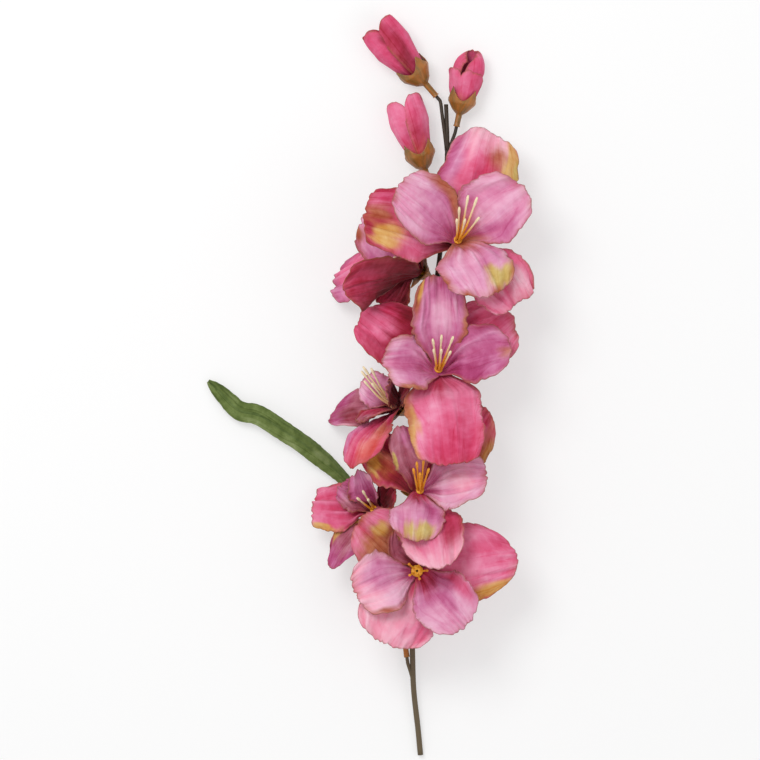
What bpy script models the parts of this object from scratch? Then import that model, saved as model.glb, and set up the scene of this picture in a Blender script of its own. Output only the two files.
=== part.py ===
"""An artificial gladiolus stem, lying on its back on a flat surface.

The stem runs along +Y with its cut end at -Y, and the flowers face +Z. Each flower is
put together as it is on the bench: a plastic calyx sleeved on a stub of the main stem,
an outer and an inner three-lobed layer of fabric petals, and a moulded stamen cluster
whose plug passes through both layers into the calyx. Sizes in the tables are in
millimetres and degrees.
"""
import math

import bmesh
import bpy
from mathutils import Matrix, Vector

MM = 0.001
GAP = 0.3                  # clearance between pieces that touch
FABRIC = 0.8               # thickness of a petal layer, with its stiffening
LEAF_FABRIC = 1.0

OUTER_HUB = 6.2            # where the outer layer splits into its lobes
INNER_HUB = 4.6            # the same for the inner layer
HUB_HOLE = 2.2             # hole in a layer for the stamen plug
PLUG_RADIUS = 1.5
CALYX_DEPTH = 12.0         # from the petals down to the pedicel tube
TUBE_LENGTH = 15.0         # pedicel tube of the calyx
TUBE_RADIUS = 2.5
CALYX_WALL = 0.7
STUB_RADIUS = 1.4
STUB_IN_TUBE = 5.0         # how far a stub reaches into its tube
STEM_RADIUS = 2.2
TIP_RADII = (1.9, 1.7)     # the same half way up and at the tip
BORE_RADIUS = 1.1
WIRE_RADIUS = 0.8
LOBE_ROWS = 6
LOBE_OUTLINE = (0.5, 0.26)
LOBE_COLUMNS = 5

# The main stem's centre line from its cut end to its tip.
STEM_PATH = [(39, -297, 2.6), (37, -276, 4), (33.5, -244, 7), (32.5, -214, 10), (31.5, -170, 13),
             (32, -120, 15), (35, -60, 16), (40, 0, 16), (48, 60, 16), (55, 110, 16),
             (59, 160, 15), (60.5, 196, 14), (60, 214, 13), (59.5, 227, 12.5)]

# A lobe: turn about the flower's axis from the +Y side, length, half width, opening
# angle at its base and at its tip, cup, twist. Some lobes have their own outline: how far
# along they reach their full width, and how far their tip is rounded, from 0 to 1.
FLOWERS = {
    1: dict(hub=(68, 116, 52), facing=(0.17, 0.36, 0.92), root=78, stamens="long",
            outer=[(19, 99, 31, 50, 108, -0.2, 0, 0.45, 0.2),
                   (142, 78, 27, 52, 112, -0.2, 0, 0.5, 0.12),
                   (-77, 84, 30, 50, 104, -0.2, 0, 0.4, 0.12)],
            inner=[(-57, 74, 28, 36, 88, 0.15, 0), (56, 71, 29, 36, 90, 0.15, 0),
                   (164, 69, 30, 36, 98, -0.1, 0)]),
    2: dict(hub=(37, 93, 33), facing=(-0.75, 0.42, 0.51), root=58, tube=8, stamens="small",
            outer=[(170, 78, 24, 29, 40, 0.1, -90, 0.25, 0.26), (-112, 80, 26, 44, 86, 0, 0),
                   (6, 52, 20, 40, 78, 0, 0), (-148, 41, 15, 68, 98, 0, 80, 0.6, 0.2)],
            inner=[(-53, 66, 25, 28, 64, 0.1, 0), (85, 24, 8, 14, 22, 0.1, 0),
                   (165, 30, 9, 16, 32, 0.1, 0)]),
    3: dict(hub=(53, 13, 50), facing=(0.06, 0.34, 0.93), root=-28,
            outer=[(54, 76, 30, 50, 112, -0.2, 0), (176, 90, 31, 52, 104, -0.2, 0, 0.25, 0.12),
                   (-50, 81, 28, 53, 121, -0.2, 0, 0.4, 0.24)],
            inner=[(0, 79, 23, 36, 90, 0.15, 0), (79, 65, 25, 36, 92, 0.15, 0, 0.6, 0.26),
                   (-93, 52, 25, 36, 90, 0.15, 0)]),
    4: dict(hub=(20, -16, 33), facing=(-0.75, 0.45, 0.48), root=-55, tube=8,
            outer=[(172, 70, 21, 50, 92, -0.1, 30, 0.6, 0.4),
                   (-111, 66, 19, 46, 94, 0.1, 0, 0.65, 0.5),
                   (56, 34, 14, 46, 76, 0, 0)],
            inner=[(-64, 37, 15, 28, 58, 0.1, 0), (60, 30, 12, 20, 42, 0.2, 0),
                   (-173, 38, 14, 30, 56, 0.1, 0)]),
    5: dict(hub=(38.5, -84, 51), facing=(-0.03, 0.34, 0.94), root=-122, stamens="close",
            outer=[(37, 88, 28, 50, 108, -0.2, 0), (166, 72, 26, 52, 104, -0.2, 0),
                   (-50, 60, 20, 50, 94, -0.2, 0)],
            inner=[(-20, 56, 14, 36, 84, 0.15, 0), (84, 62, 26, 36, 92, 0.15, 0),
                   (-176, 56, 23, 36, 94, -0.1, 0)]),
    6: dict(hub=(3, -100, 26), facing=(-0.5, 0.42, 0.76), root=-136, tube=8, stamens="small",
            outer=[(-97, 52, 21, 46, 84, -0.1, 0, 0.5, 0.08),
                   (-154, 60, 17, 56, 112, 0, 0, 0.65, 0.5),
                   (50, 34, 15, 40, 70, 0, 0)],
            inner=[(-8, 38, 14, 20, 50, 0.5, 0), (-62, 36, 14, 34, 66, 0.1, 0),
                   (140, 18, 8, 20, 40, 0.1, 0)]),
    7: dict(hub=(36, -148, 42), facing=(0.0, 0.1, 0.99), root=-196, tube=10, stamens="short",
            outer=[(83, 87, 33, 52, 112, -0.2, 0, 0.45, 0.5), (-158, 69, 34, 52, 100, -0.2, 0),
                   (-48, 63, 26, 54, 102, -0.2, 0)],
            inner=[(-18, 42, 18, 42, 88, 0.15, 0), (140, 67, 27, 44, 92, 0.15, 0, 0.6, 0.26),
                   (-112, 60, 26, 44, 92, 0.15, 0, 0.6, 0.26)]),
}


# Buds: where the calyx starts, the way the bud points, its length, its girth and how much
# of that is lost at the top. For each petal, its half wrap in degrees, how far it spirals
# and stands out, and where round it is tallest; and how tall it is. Then where the split
# between the two lies, and where the bud's stub leaves the stem.
BUDS = {
    1: dict(base=(43, 243.5, 13), facing=(-0.655, 0.756, 0.06), length=56.5, radius=16.5,
            close=0.1, wraps=((104, 1, 0, 0.55), (104, 1, 0, 0.55)), tall=(0.99, 1.0), split=5,
            tube=13, root=190, sepal_turn=0.35),
    2: dict(base=(70, 219, 12.0), facing=(0.21, 0.977, 0.03), length=46.5, radius=13.5,
            close=0.45, wraps=((96, 0, 1, 0.3), (158, 0, -1, 0.0)), tall=(0.64, 1.0), split=-70,
            tube=10, root=186, sepal_turn=0.5),
    3: dict(base=(42.5, 174.5, 16), facing=(-0.31, 0.95, 0.0), length=55.5, radius=16,
            close=0.1, wraps=((104, 1, 0, 0.55), (104, 1, 0, 0.55)), tall=(0.96, 1.0), split=0,
            tube=10, root=128, sepal_turn=0.5),
}
BUD_FLATTEN = 0.85         # buds are pressed a little flat, front to back
WRAP = 1.4                 # how far one edge of a bud petal lies outside the other's
TIP_UNWRAP = 14            # degrees by which its edges open at the tip
TIP_FALL = 0.15            # how much lower its sides are than its peak
SEPALS = 4

# The leaf's rib from the blade's foot to its tip, and its stalk down to the stub.
LEAF_PATH = [(-9, -86, 4), (-30, -66, 5), (-52, -48, 8), (-70, -36, 9), (-91, -23, 8),
             (-107, -19, 6), (-120, -7, 3), (-132, 4, 1)]
LEAF_FOOT = [(28, -218, 8.5), (26, -204, 8), (20, -168, 6), (8, -118, 5)]
LEAF_ROOT = -237
LEAF_HALF_WIDTH = 8.0
LEAF_FOLD = 3.0
LEAF_ROLL = 20             # how far the blade leans at its foot
LEAF_TAPER = 0.72          # where along it the tip starts to narrow
RIB_RADIUS = 0.9
RIB_RADII = (2.3, 2.0, 1.3, 1.1, 1.0, 0.9, 0.8, 0.7)

# Stamens: base disc, and threads as turn, length, spread at the tip, lean to the +Y side.
STAMENS = {
    "long": dict(disc=3.4, threads=[(20, 41, 5, 15), (60, 42, 9, 14), (100, 33, 10, 8),
                                    (180, 34, 4, 10), (-120, 30, 5, 9), (-40, 36, 5, 8)]),
    "close": dict(disc=3.2, threads=[(-30, 36, 2, 8), (40, 38, 4, 9), (90, 33, 6, 7),
                                     (170, 30, 2, 8), (-100, 32, 3, 8)]),
    "tall": dict(disc=3.4, threads=[(0, 40, 3, 9), (60, 38, 9, 8), (120, 31, 7, 8),
                                    (180, 34, 4, 10), (-120, 30, 5, 9), (-60, 36, 6, 8)]),
    "small": dict(disc=3.0, threads=[(10, 22, 2, 3), (100, 18, 3, 2), (-100, 20, 3, 2)]),
    "short": dict(disc=4.8, threads=[(20, 9, 5, 0), (92, 8, 6, 0), (164, 8, 5, 0),
                                     (236, 9, 5, 0), (308, 8, 6, 0)]),
}

HUB_STACK = 2.0            # height of the two petal layers at the hub
SHOULDER = 0.4             # from the petal layers up to the stamens' base disc
DISC_HEIGHT = 2.4          # top of that disc above the petal layers
WELL = (1.0, 2.5)          # radius and depth of the small hole in its middle
PLUG_DEPTH = 13.0
THREAD_RADII = (0.7, 0.7, 0.7, 1.0, 0.8)

MOUTH_FLARE = 0.5          # how much wider a tube starts where the stub goes in
MOUTH = 1.2                # length of that flare
CUP = ((0.6, 4.6), (0.33, 6.0), (0.2, 7.4))   # calyx wall: share of its depth, radius
FLOWER_SEPAL = (3.0, 8.5)  # how far a sepal reaches up and outwards
BUD_SEPAL = (12.0, 2.0)
SEPAL_NOTCH = 0.15         # height of the wall between two sepals, as a share of them
BUD_FOOT = (3.0, 0.8)      # a bud calyx's first step: height, room round the petals
BUD_ROOM = 2.1             # room round the petals at the calyx's rim
STUB_LEAN = 0.35           # how near the stem a stub starts to bend away
PETAL_FOOT = 6.0           # a bud petal's foot above the start of the calyx
BUD_WAIST = 3.2            # radius there

REST_HEIGHT = 0.5          # lowest middle of the fabric above the surface
REST_SOFTNESS = 1.6        # height over which a sinking edge bends to lie along it
WELD = 0.00002


def material(name, colour, roughness, metallic=0.0):
    made = bpy.data.materials.new(name)
    made.use_nodes = True
    shader = made.node_tree.nodes["Principled BSDF"]
    shader.inputs["Base Color"].default_value = (*colour, 1.0)
    shader.inputs["Roughness"].default_value = roughness
    shader.inputs["Metallic"].default_value = metallic
    made.diffuse_color = (*colour, 1.0)
    return made


def make_object(name, mesh, collection, look):
    made = bpy.data.objects.new(name, mesh)
    collection.objects.link(made)
    mesh.materials.clear()
    mesh.materials.append(look)
    return made


def axes(facing):
    """Up, right and facing directions of a flower, with up on the +Y side."""
    front = Vector(facing).normalized()
    up = (Vector((0, 1, 0)) - front * front.y).normalized()
    return up, up.cross(front), front


def smooth(value):
    value = min(max(value, 0.0), 1.0)
    return value * value * (3 - 2 * value)


def above_floor(point):
    """A point that would sink into the surface lies along it instead."""
    height = (point.z - REST_HEIGHT) / REST_SOFTNESS
    if height < 20:
        height = math.log1p(math.exp(height))
    return Vector((point.x, point.y, REST_HEIGHT + REST_SOFTNESS * height))


def route(points, step):
    """Points about one step apart on a smooth curve through the given ones."""
    points = [Vector(p) for p in points]
    ends = [2 * points[0] - points[1], *points, 2 * points[-1] - points[-2]]
    made = []
    for before, start, end, after in zip(ends, ends[1:], ends[2:], ends[3:]):
        count = max(1, round((end - start).length / step))
        for i in range(count):
            u = i / count
            made.append(0.5 * (2 * start + (end - before) * u
                               + (2 * before - 5 * start + 4 * end - after) * u * u
                               + (3 * start - before - 3 * end + after) * u * u * u))
    return made + [points[-1]]


def tube(name, points, radii, collection, look, resolution=2):
    """A round bar along the points, its radius running evenly through the given radii."""
    curve = bpy.data.curves.new(name, "CURVE")
    curve.dimensions = "3D"
    curve.bevel_depth = MM
    curve.bevel_resolution = resolution
    curve.use_fill_caps = True
    spline = curve.splines.new("POLY")
    spline.points.add(len(points) - 1)
    for i, (control, point) in enumerate(zip(spline.points, points)):
        place = i / (len(points) - 1) * (len(radii) - 1)
        left = min(int(place), len(radii) - 2)
        control.co = (*(point * MM), 1.0)
        control.radius = radii[left] + (radii[left + 1] - radii[left]) * (place - left)
    return make_object(name, curve, collection, look)


def solid_mesh(made, collection, look):
    """The same piece as a mesh, with its caps or its turned surface welded."""
    graph = bpy.context.evaluated_depsgraph_get()
    mesh = bpy.data.meshes.new_from_object(made.evaluated_get(graph))
    name, matrix = made.name, made.matrix_world.copy()
    bpy.data.objects.remove(made)
    shape = bmesh.new()
    shape.from_mesh(mesh)
    bmesh.ops.remove_doubles(shape, verts=shape.verts, dist=WELD)
    bmesh.ops.recalc_face_normals(shape, faces=shape.faces)
    shape.to_mesh(mesh)
    shape.free()
    mesh.name = name
    solid = make_object(name, mesh, collection, look)
    solid.matrix_world = matrix
    return solid


def turned(name, profile, place, collection, look, steps=12):
    """A profile of (radius, height) pairs, top to bottom, turned about the facing axis."""
    mesh = bpy.data.meshes.new(name)
    edges = [(i, i + 1) for i in range(len(profile) - 1)]
    mesh.from_pydata([(radius * MM, 0, height * MM) for radius, height in profile], edges, [])
    made = make_object(name, mesh, collection, look)
    made.matrix_world = place
    screw = made.modifiers.new("turn", "SCREW")
    screw.steps = screw.render_steps = steps
    screw.use_merge_vertices = True
    screw.merge_threshold = WELD
    return made


def combine(made, tools, operation):
    """Add the tools to a piece, or cut it with them."""
    for tool in tools:
        tool.hide_render = True
        tool.display_type = "WIRE"
        change = made.modifiers.new(tool.name, "BOOLEAN")
        change.operation = operation
        change.object = tool


def thicken(made, thickness):
    shell = made.modifiers.new("thickness", "SOLIDIFY")
    shell.thickness = thickness * MM
    shell.offset = 0.0


def sectors(lobes):
    """The stretch of the hub ring that each lobe grows from, half way to its neighbours."""
    order = sorted(range(len(lobes)), key=lambda i: lobes[i][0] % 360)
    spans = {}
    for place, i in enumerate(order):
        turn = lobes[i][0] % 360
        before = lobes[order[place - 1]][0] % 360
        after = lobes[order[(place + 1) % len(order)]][0] % 360
        spans[i] = (turn - (turn - before) % 360 / 2, turn + (after - turn) % 360 / 2)
    return [spans[i] for i in range(len(lobes))]


def lobe_point(frame, hub_radius, lobe, span, row, across):
    """A point of one lobe from the hub point; row 0 is the hole's edge, 1 the hub ring."""
    up, right, front = frame
    turn, length, half_width, base_open, tip_open, cup, twist, *outline = lobe
    broad, rounded = outline or LOBE_OUTLINE
    edge_turn = math.radians(span[0] + (span[1] - span[0]) * (across + 1) / 2)
    fan = up * math.cos(edge_turn) + right * math.sin(edge_turn)
    if row < 1:
        return fan * HUB_HOLE
    x = (row - 1) / (LOBE_ROWS - 1)
    along = x * math.sqrt(1 - rounded * across * across)
    share = across * math.sqrt(1 - 0.4 * x ** 5)
    width = half_width * share * (0.2 + 0.8 * smooth(x / broad))
    start = math.radians(base_open)
    bend = math.radians(tip_open - base_open)
    angle = start + bend * along
    reach = hub_radius + (length - hub_radius) * (math.cos(start) - math.cos(angle)) / bend
    rise = (length - hub_radius) * (math.sin(angle) - math.sin(start)) / bend
    centre = math.radians(turn)
    out = up * math.cos(centre) + right * math.sin(centre)
    side = right * math.cos(centre) - up * math.sin(centre)
    normal = front * math.sin(angle) - out * math.cos(angle)
    roll = math.radians(twist) * along
    tilted = side * math.cos(roll) + normal * math.sin(roll)
    lifted = normal * math.cos(roll) - side * math.sin(roll)
    lobe_shape = (out * reach + front * rise + tilted * width
                  + lifted * (cup * abs(share) * abs(width)))
    fan_shape = fan * reach + front * rise
    return fan_shape.lerp(lobe_shape, smooth(x / 0.3))


def petal_layer(name, hub, frame, hub_radius, lobes, collection, look):
    """One die-cut layer of fabric: its lobes are joined round the hub hole."""
    shape = bmesh.new()
    for lobe, span in zip(lobes, sectors(lobes)):
        grid = bmesh.ops.create_grid(shape, x_segments=LOBE_ROWS, y_segments=LOBE_COLUMNS,
                                     size=1)
        for vert in grid["verts"]:
            row = round((vert.co.x + 1) / 2 * LOBE_ROWS)
            point = hub + lobe_point(frame, hub_radius, lobe, span, row, vert.co.y)
            vert.co = above_floor(point) * MM
    bmesh.ops.remove_doubles(shape, verts=shape.verts, dist=WELD)
    bmesh.ops.recalc_face_normals(shape, faces=shape.faces)
    mesh = bpy.data.meshes.new(name)
    shape.to_mesh(mesh)
    shape.free()
    made = make_object(name, mesh, collection, look)
    thicken(made, FABRIC)
    return made


def rolled_sheet(name, point_at, rows, columns, thickness, collection, look, closed):
    """A grid bent into a tube or a wrap by point_at(along, around), both from 0 to 1."""
    shape = bmesh.new()
    grid = bmesh.ops.create_grid(shape, x_segments=rows, y_segments=columns, size=1)
    for vert in grid["verts"]:
        vert.co = point_at((vert.co.x + 1) / 2, (vert.co.y + 1) / 2) * MM
    if closed:
        bmesh.ops.remove_doubles(shape, verts=shape.verts, dist=WELD)
    bmesh.ops.recalc_face_normals(shape, faces=shape.faces)
    mesh = bpy.data.meshes.new(name)
    shape.to_mesh(mesh)
    shape.free()
    made = make_object(name, mesh, collection, look)
    thicken(made, thickness)
    return made


def through(profile, place):
    """The pair at this place in the list, counted from 0 and between two as needed."""
    left = min(int(place), len(profile) - 2)
    start, end = Vector(profile[left]), Vector(profile[left + 1])
    return start.lerp(end, place - left)


def tube_profile(foot, top):
    """The wall of a pedicel tube, flared where the stub goes in."""
    middle = TUBE_RADIUS - CALYX_WALL / 2
    return [(foot, middle + MOUTH_FLARE), (foot + MOUTH, middle), (top, middle)]


def calyx(name, base, frame, profile, sepal, turn, collection, look):
    """Pedicel tube, cup and pointed sepals in one moulding.

    profile runs up the wall as (height, radius) pairs; sepal is how far the three points
    reach past it, up and outwards.
    """
    up, right, front = frame

    def point_at(along, around):
        angle = 2 * math.pi * around
        fan = up * math.cos(angle) + right * math.sin(angle)
        place = along * len(profile)
        height, radius = through(profile, min(place, len(profile) - 1))
        if place > len(profile) - 0.5:
            point = abs((SEPALS * around + turn) % 1.0 - 0.5) * 2
            wave = SEPAL_NOTCH + (1 - SEPAL_NOTCH) * point
            height += sepal[0] * wave
            radius += sepal[1] * wave
        return above_floor(base + front * height + fan * radius)

    return rolled_sheet(name, point_at, len(profile), 4 * SEPALS, CALYX_WALL, collection, look,
                        True)


def stem_point(y):
    """The main stem's centre where it crosses this height of the spray."""
    for low, high in zip(STEM_PATH, STEM_PATH[1:]):
        if low[1] <= y <= high[1]:
            return Vector(low).lerp(Vector(high), (y - low[1]) / (high[1] - low[1]))
    raise ValueError("no stem at y = %g" % y)


def placed(hub, frame):
    """Matrix that turns local X, Y, Z into a flower's right, up and facing directions."""
    up, right, front = frame
    turn = Matrix((right, up, front)).transposed().to_4x4()
    return Matrix.Translation(hub * MM) @ turn


def stub(name, root_y, joint, direction, collection, look):
    """A side branch from the stem's centre line into the tube that sleeves over it."""
    root = stem_point(root_y)
    inside = joint + direction * STUB_IN_TUBE
    before = joint - direction * STUB_IN_TUBE
    bend = before.lerp(root, STUB_LEAN) + Vector((0, 0, 1))
    points = route([root, bend, before, joint, inside], 9)
    made = tube(name, points, [STUB_RADIUS, STUB_RADIUS], collection, look)
    return solid_mesh(made, collection, look)


def stamens(name, hub, frame, kind, collection, helpers, look):
    """Plug, base disc and filaments, moulded in one."""
    place = placed(hub, frame)
    top = HUB_STACK + DISC_HEIGHT
    disc, (well, well_depth) = kind["disc"], WELL
    profile = [(0, top - well_depth), (well, top - well_depth), (well, top),
               (disc, top - SHOULDER), (disc, HUB_STACK + 2 * SHOULDER),
               (PLUG_RADIUS, HUB_STACK + SHOULDER), (PLUG_RADIUS, -PLUG_DEPTH), (0, -PLUG_DEPTH)]
    made = solid_mesh(turned(name, profile, place, collection, look), collection, look)
    threads = []
    for i, (turn, length, spread, bow) in enumerate(kind["threads"]):
        angle = math.radians(turn)
        out = Vector((math.sin(angle), math.cos(angle), 0))
        lean = Vector((0, bow, 0))
        start = out * (disc * 0.55) + Vector((0, 0, top / 2 + 1))
        middle = start + out * spread * 0.35 + lean * 0.2 + Vector((0, 0, length * 0.45))
        tip = start + out * spread + lean + Vector((0, 0, length))
        points = [place @ (p * MM) / MM for p in route([start, middle, tip], length / 3)]
        thread = tube("%s_thread_%d" % (name, i), points, THREAD_RADII, helpers, look, 0)
        threads.append(solid_mesh(thread, helpers, look))
    combine(made, threads, "UNION")
    return made


def flower(number, design, parts, helpers, looks):
    """Calyx, both petal layers and stamens of one flower, and the stub that holds it."""
    name = "flower_%d" % number
    hub = Vector(design["hub"])
    frame = axes(design["facing"])
    front = frame[2]
    foot = -CALYX_DEPTH - design.get("tube", TUBE_LENGTH)
    profile = tube_profile(foot, -CALYX_DEPTH)
    profile += [(-CALYX_DEPTH * depth, radius) for depth, radius in CUP]
    calyx(name + "_calyx", hub, frame, profile, FLOWER_SEPAL, 0.0, parts, looks["calyx"])
    lower = hub + front * (FABRIC / 2 - 0.2)
    upper = lower + front * (FABRIC + GAP + 0.3)
    petal_layer(name + "_outer_petals", lower, frame, OUTER_HUB, design["outer"], parts,
                looks["outer"])
    petal_layer(name + "_inner_petals", upper, frame, INNER_HUB, design["inner"], parts,
                looks["inner"])
    stamens(name + "_stamens", hub, frame, STAMENS[design.get("stamens", "tall")], parts, helpers,
            looks["stamens"])
    joint = hub + front * foot
    return stub(name + "_stub", design["root"], joint, front, helpers, looks["stem"])


def bud(number, design, parts, helpers, looks):
    """A closed bud: two petals rolled round each other in a pointed calyx."""
    name = "bud_%d" % number
    base = Vector(design["base"])
    up, right, front = axes(design["facing"])
    # The bud's own "up" is +Z, the side that shows, so its split is given from there.
    sky = (Vector((0, 0, 1)) - front * front.z).normalized()
    frame = (sky, sky.cross(front), front)
    length, radius = design["length"], design["radius"]

    def girth(along):
        swell = min(1.0, 0.06 + along / 0.7) ** 0.6
        closing = radius * design["close"] * smooth((along - 0.7) / 0.3)
        return BUD_WAIST + (radius - BUD_WAIST) * swell - closing

    for which, half in enumerate(("outer", "inner")):
        tall = design["tall"][which]

        def petal_at(along, around, half_turn=180.0 * which, tall=tall,
                     wraps=design["wraps"][which]):
            span, spiral_share, offset, peak = wraps
            across = 2 * around - 1
            wrapped = across * (span - TIP_UNWRAP * along ** 3)
            angle = math.radians(design["split"] + 90 + half_turn + wrapped)
            fan = frame[0] * math.cos(angle) * BUD_FLATTEN + frame[1] * math.sin(angle)
            off_peak = abs(across) - peak
            fall = TIP_FALL * (off_peak / (max(peak, 0.01) if off_peak < 0 else 1 - peak)) ** 4
            height = PETAL_FOOT + tall * length * along * (1 - fall * along)
            spiral = girth(along * tall) + WRAP * (spiral_share * across + offset)
            return above_floor(base + front * height + fan * spiral)

        rolled_sheet("%s_%s_petal" % (name, half), petal_at, 6, 8, FABRIC, parts,
                     looks["outer"], False)
    profile = tube_profile(-design["tube"], 0)
    profile += [(BUD_FOOT[0], girth(0) + BUD_FOOT[1]), (length * 0.2, girth(0.2) + BUD_ROOM)]
    calyx(name + "_calyx", base, frame, profile, BUD_SEPAL, design["sepal_turn"], parts,
          looks["calyx"])
    joint = base - front * design["tube"]
    return stub(name + "_stub", design["root"], joint, front, helpers, looks["stem"])


def leaf(parts, helpers, looks):
    """A strap of fabric folded along a wire rib, whose foot sleeves over a stub."""
    path = route(LEAF_PATH, 3)

    def blade_at(along, around):
        place = along * (len(path) - 1)
        left = min(int(place), len(path) - 2)
        centre = path[left].lerp(path[left + 1], place - left)
        ahead = (path[left + 1] - path[left]).normalized()
        roll = math.radians(LEAF_ROLL * (1 - along))
        flat = ahead.cross(Vector((0, 0, 1))).normalized()
        side = flat * math.cos(roll) + flat.cross(ahead) * math.sin(roll)
        raised = side.cross(ahead)
        across = 2 * around - 1
        width = LEAF_HALF_WIDTH * (0.55 + 0.45 * smooth(along / 0.35))
        to_tip = max(0.0, (along - LEAF_TAPER) / (1 - LEAF_TAPER))
        width *= math.sqrt(max(0.02, 1 - to_tip ** 2.2))
        fold = LEAF_FOLD * (1 - 0.6 * along) * abs(across)
        over_rib = RIB_RADIUS + LEAF_FABRIC / 2 + GAP + 0.1
        return above_floor(centre + side * across * width + raised * (fold + over_rib))

    rolled_sheet("leaf_blade", blade_at, 16, 4, LEAF_FABRIC, parts, looks["leaf"], False)
    rib = route([*LEAF_FOOT, *LEAF_PATH[:-1]], 10)
    made = solid_mesh(tube("leaf_midrib", rib, RIB_RADII, parts, looks["rib"]), parts,
                      looks["rib"])
    joint = Vector(LEAF_FOOT[0])
    direction = (Vector(LEAF_FOOT[1]) - joint).normalized()
    socket = tube("leaf_socket", [joint - direction * 2, joint + direction * (STUB_IN_TUBE + 1)],
                  [STUB_RADIUS + GAP, STUB_RADIUS + GAP], helpers, looks["rib"])
    combine(made, [solid_mesh(socket, helpers, looks["rib"])], "DIFFERENCE")
    return stub("leaf_stub", LEAF_ROOT, joint, direction, helpers, looks["stem"])


def main_stem(stubs, parts, helpers, looks):
    """The moulded stem with every stub, bored for the wire that stiffens it."""
    path = route(STEM_PATH, 14)
    radii = (STEM_RADIUS, STEM_RADIUS, *TIP_RADII)
    stem = solid_mesh(tube("main_stem", path, radii, parts, looks["stem"]), parts, looks["stem"])
    combine(stem, stubs, "UNION")
    ahead = (path[1] - path[0]).normalized()
    bore_path = [path[0] - ahead * 2, *path[1:-2]]
    bore = tube("stem_bore", bore_path, [BORE_RADIUS, BORE_RADIUS], helpers, looks["stem"])
    combine(stem, [solid_mesh(bore, helpers, looks["stem"])], "DIFFERENCE")
    tube("stem_wire_core", [path[0] - ahead * 0.5, *path[1:-3]], [WIRE_RADIUS, WIRE_RADIUS], parts,
         looks["wire"])


def centre_on_origin(parts):
    """Move the spray so that its box stands on the origin by the middle of its base."""
    bpy.context.view_layer.update()
    graph = bpy.context.evaluated_depsgraph_get()
    corners = []
    for made in parts.objects:
        mesh = made.evaluated_get(graph).to_mesh()
        corners += [made.matrix_world @ vert.co for vert in mesh.vertices]
    low = Vector(min(point[i] for point in corners) for i in range(3))
    high = Vector(max(point[i] for point in corners) for i in range(3))
    middle = (low + high) / 2
    return Vector((-middle.x, -middle.y, -low.z))


def main():
    for old in list(bpy.data.objects):
        bpy.data.objects.remove(old)
    parts = bpy.data.collections.new("gladiolus_stem")
    helpers = bpy.data.collections.new("cutters_and_stubs")
    for group in (parts, helpers):
        bpy.context.scene.collection.children.link(group)
    looks = {
        "stem": material("moulded olive-brown plastic", (0.07, 0.055, 0.03), 0.5),
        "wire": material("cut steel wire", (0.45, 0.44, 0.42), 0.4, 1.0),
        "calyx": material("moulded tan plastic", (0.33, 0.18, 0.05), 0.5),
        "outer": material("crimson-pink fabric", (0.72, 0.09, 0.22), 0.85),
        "inner": material("mauve fabric", (0.62, 0.20, 0.42), 0.85),
        "stamens": material("moulded yellow plastic", (0.9, 0.62, 0.12), 0.45),
        "leaf": material("green fabric", (0.09, 0.16, 0.03), 0.8),
        "rib": material("green plastic-coated wire", (0.05, 0.09, 0.02), 0.5),
    }
    stubs = [flower(number, design, parts, helpers, looks) for number, design in FLOWERS.items()]
    stubs += [bud(number, design, parts, helpers, looks) for number, design in BUDS.items()]
    stubs.append(leaf(parts, helpers, looks))
    main_stem(stubs, parts, helpers, looks)
    shift = centre_on_origin(parts)
    for made in (*parts.objects, *helpers.objects):
        made.matrix_world = Matrix.Translation(shift) @ made.matrix_world


main()
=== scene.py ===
"""Dresses the frame of an artificial gladiolus stem that lies on a white surface.

The frame gives every piece its place. Each one is then made again here as fine fabric
or plastic over the same shape, in the tables' millimetres and degrees.
"""
import math

import bmesh
import bpy
import numpy as np
from bpy.props import FloatProperty, FloatVectorProperty, PointerProperty
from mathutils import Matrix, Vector


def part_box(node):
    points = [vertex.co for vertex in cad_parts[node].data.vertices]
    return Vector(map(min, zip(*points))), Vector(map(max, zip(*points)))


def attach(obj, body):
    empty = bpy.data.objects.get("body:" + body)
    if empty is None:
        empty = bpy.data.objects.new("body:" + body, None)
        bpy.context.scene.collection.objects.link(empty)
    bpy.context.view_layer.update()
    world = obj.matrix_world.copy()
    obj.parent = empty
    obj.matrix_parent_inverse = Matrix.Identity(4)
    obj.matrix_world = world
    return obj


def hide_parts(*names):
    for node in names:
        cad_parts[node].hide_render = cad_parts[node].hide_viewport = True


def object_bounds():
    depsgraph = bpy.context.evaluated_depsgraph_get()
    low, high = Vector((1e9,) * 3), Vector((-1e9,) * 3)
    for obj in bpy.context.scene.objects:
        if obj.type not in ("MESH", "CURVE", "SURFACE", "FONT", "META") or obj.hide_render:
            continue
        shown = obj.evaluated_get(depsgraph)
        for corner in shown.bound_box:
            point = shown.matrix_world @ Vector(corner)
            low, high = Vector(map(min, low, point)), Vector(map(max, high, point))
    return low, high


bl_info = {
    "name": "Gladiolus Stem",
    "version": (1, 0, 0),
    "blender": (4, 5, 0),
    "location": "3D View > Sidebar > Gladiolus",
    "description": "Makes the fabric flowers, buds, leaf and stem of an artificial gladiolus",
    "category": "Add Mesh",
}

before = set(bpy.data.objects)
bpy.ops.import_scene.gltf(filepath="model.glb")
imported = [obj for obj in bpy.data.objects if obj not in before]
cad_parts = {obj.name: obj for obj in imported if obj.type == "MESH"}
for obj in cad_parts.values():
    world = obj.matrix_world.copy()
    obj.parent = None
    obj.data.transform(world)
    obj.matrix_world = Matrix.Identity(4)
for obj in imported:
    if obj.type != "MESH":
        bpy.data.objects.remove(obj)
CAD_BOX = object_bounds()

MM = 0.001
# From the middle of the flower layout to the frame's origin, in millimetres.
LAYOUT_SHIFT = np.array((1.458, -0.997, -0.215))
BOX_SLACK = 0.008          # how far a piece's middle may be from its frame node's, in metres

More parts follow.
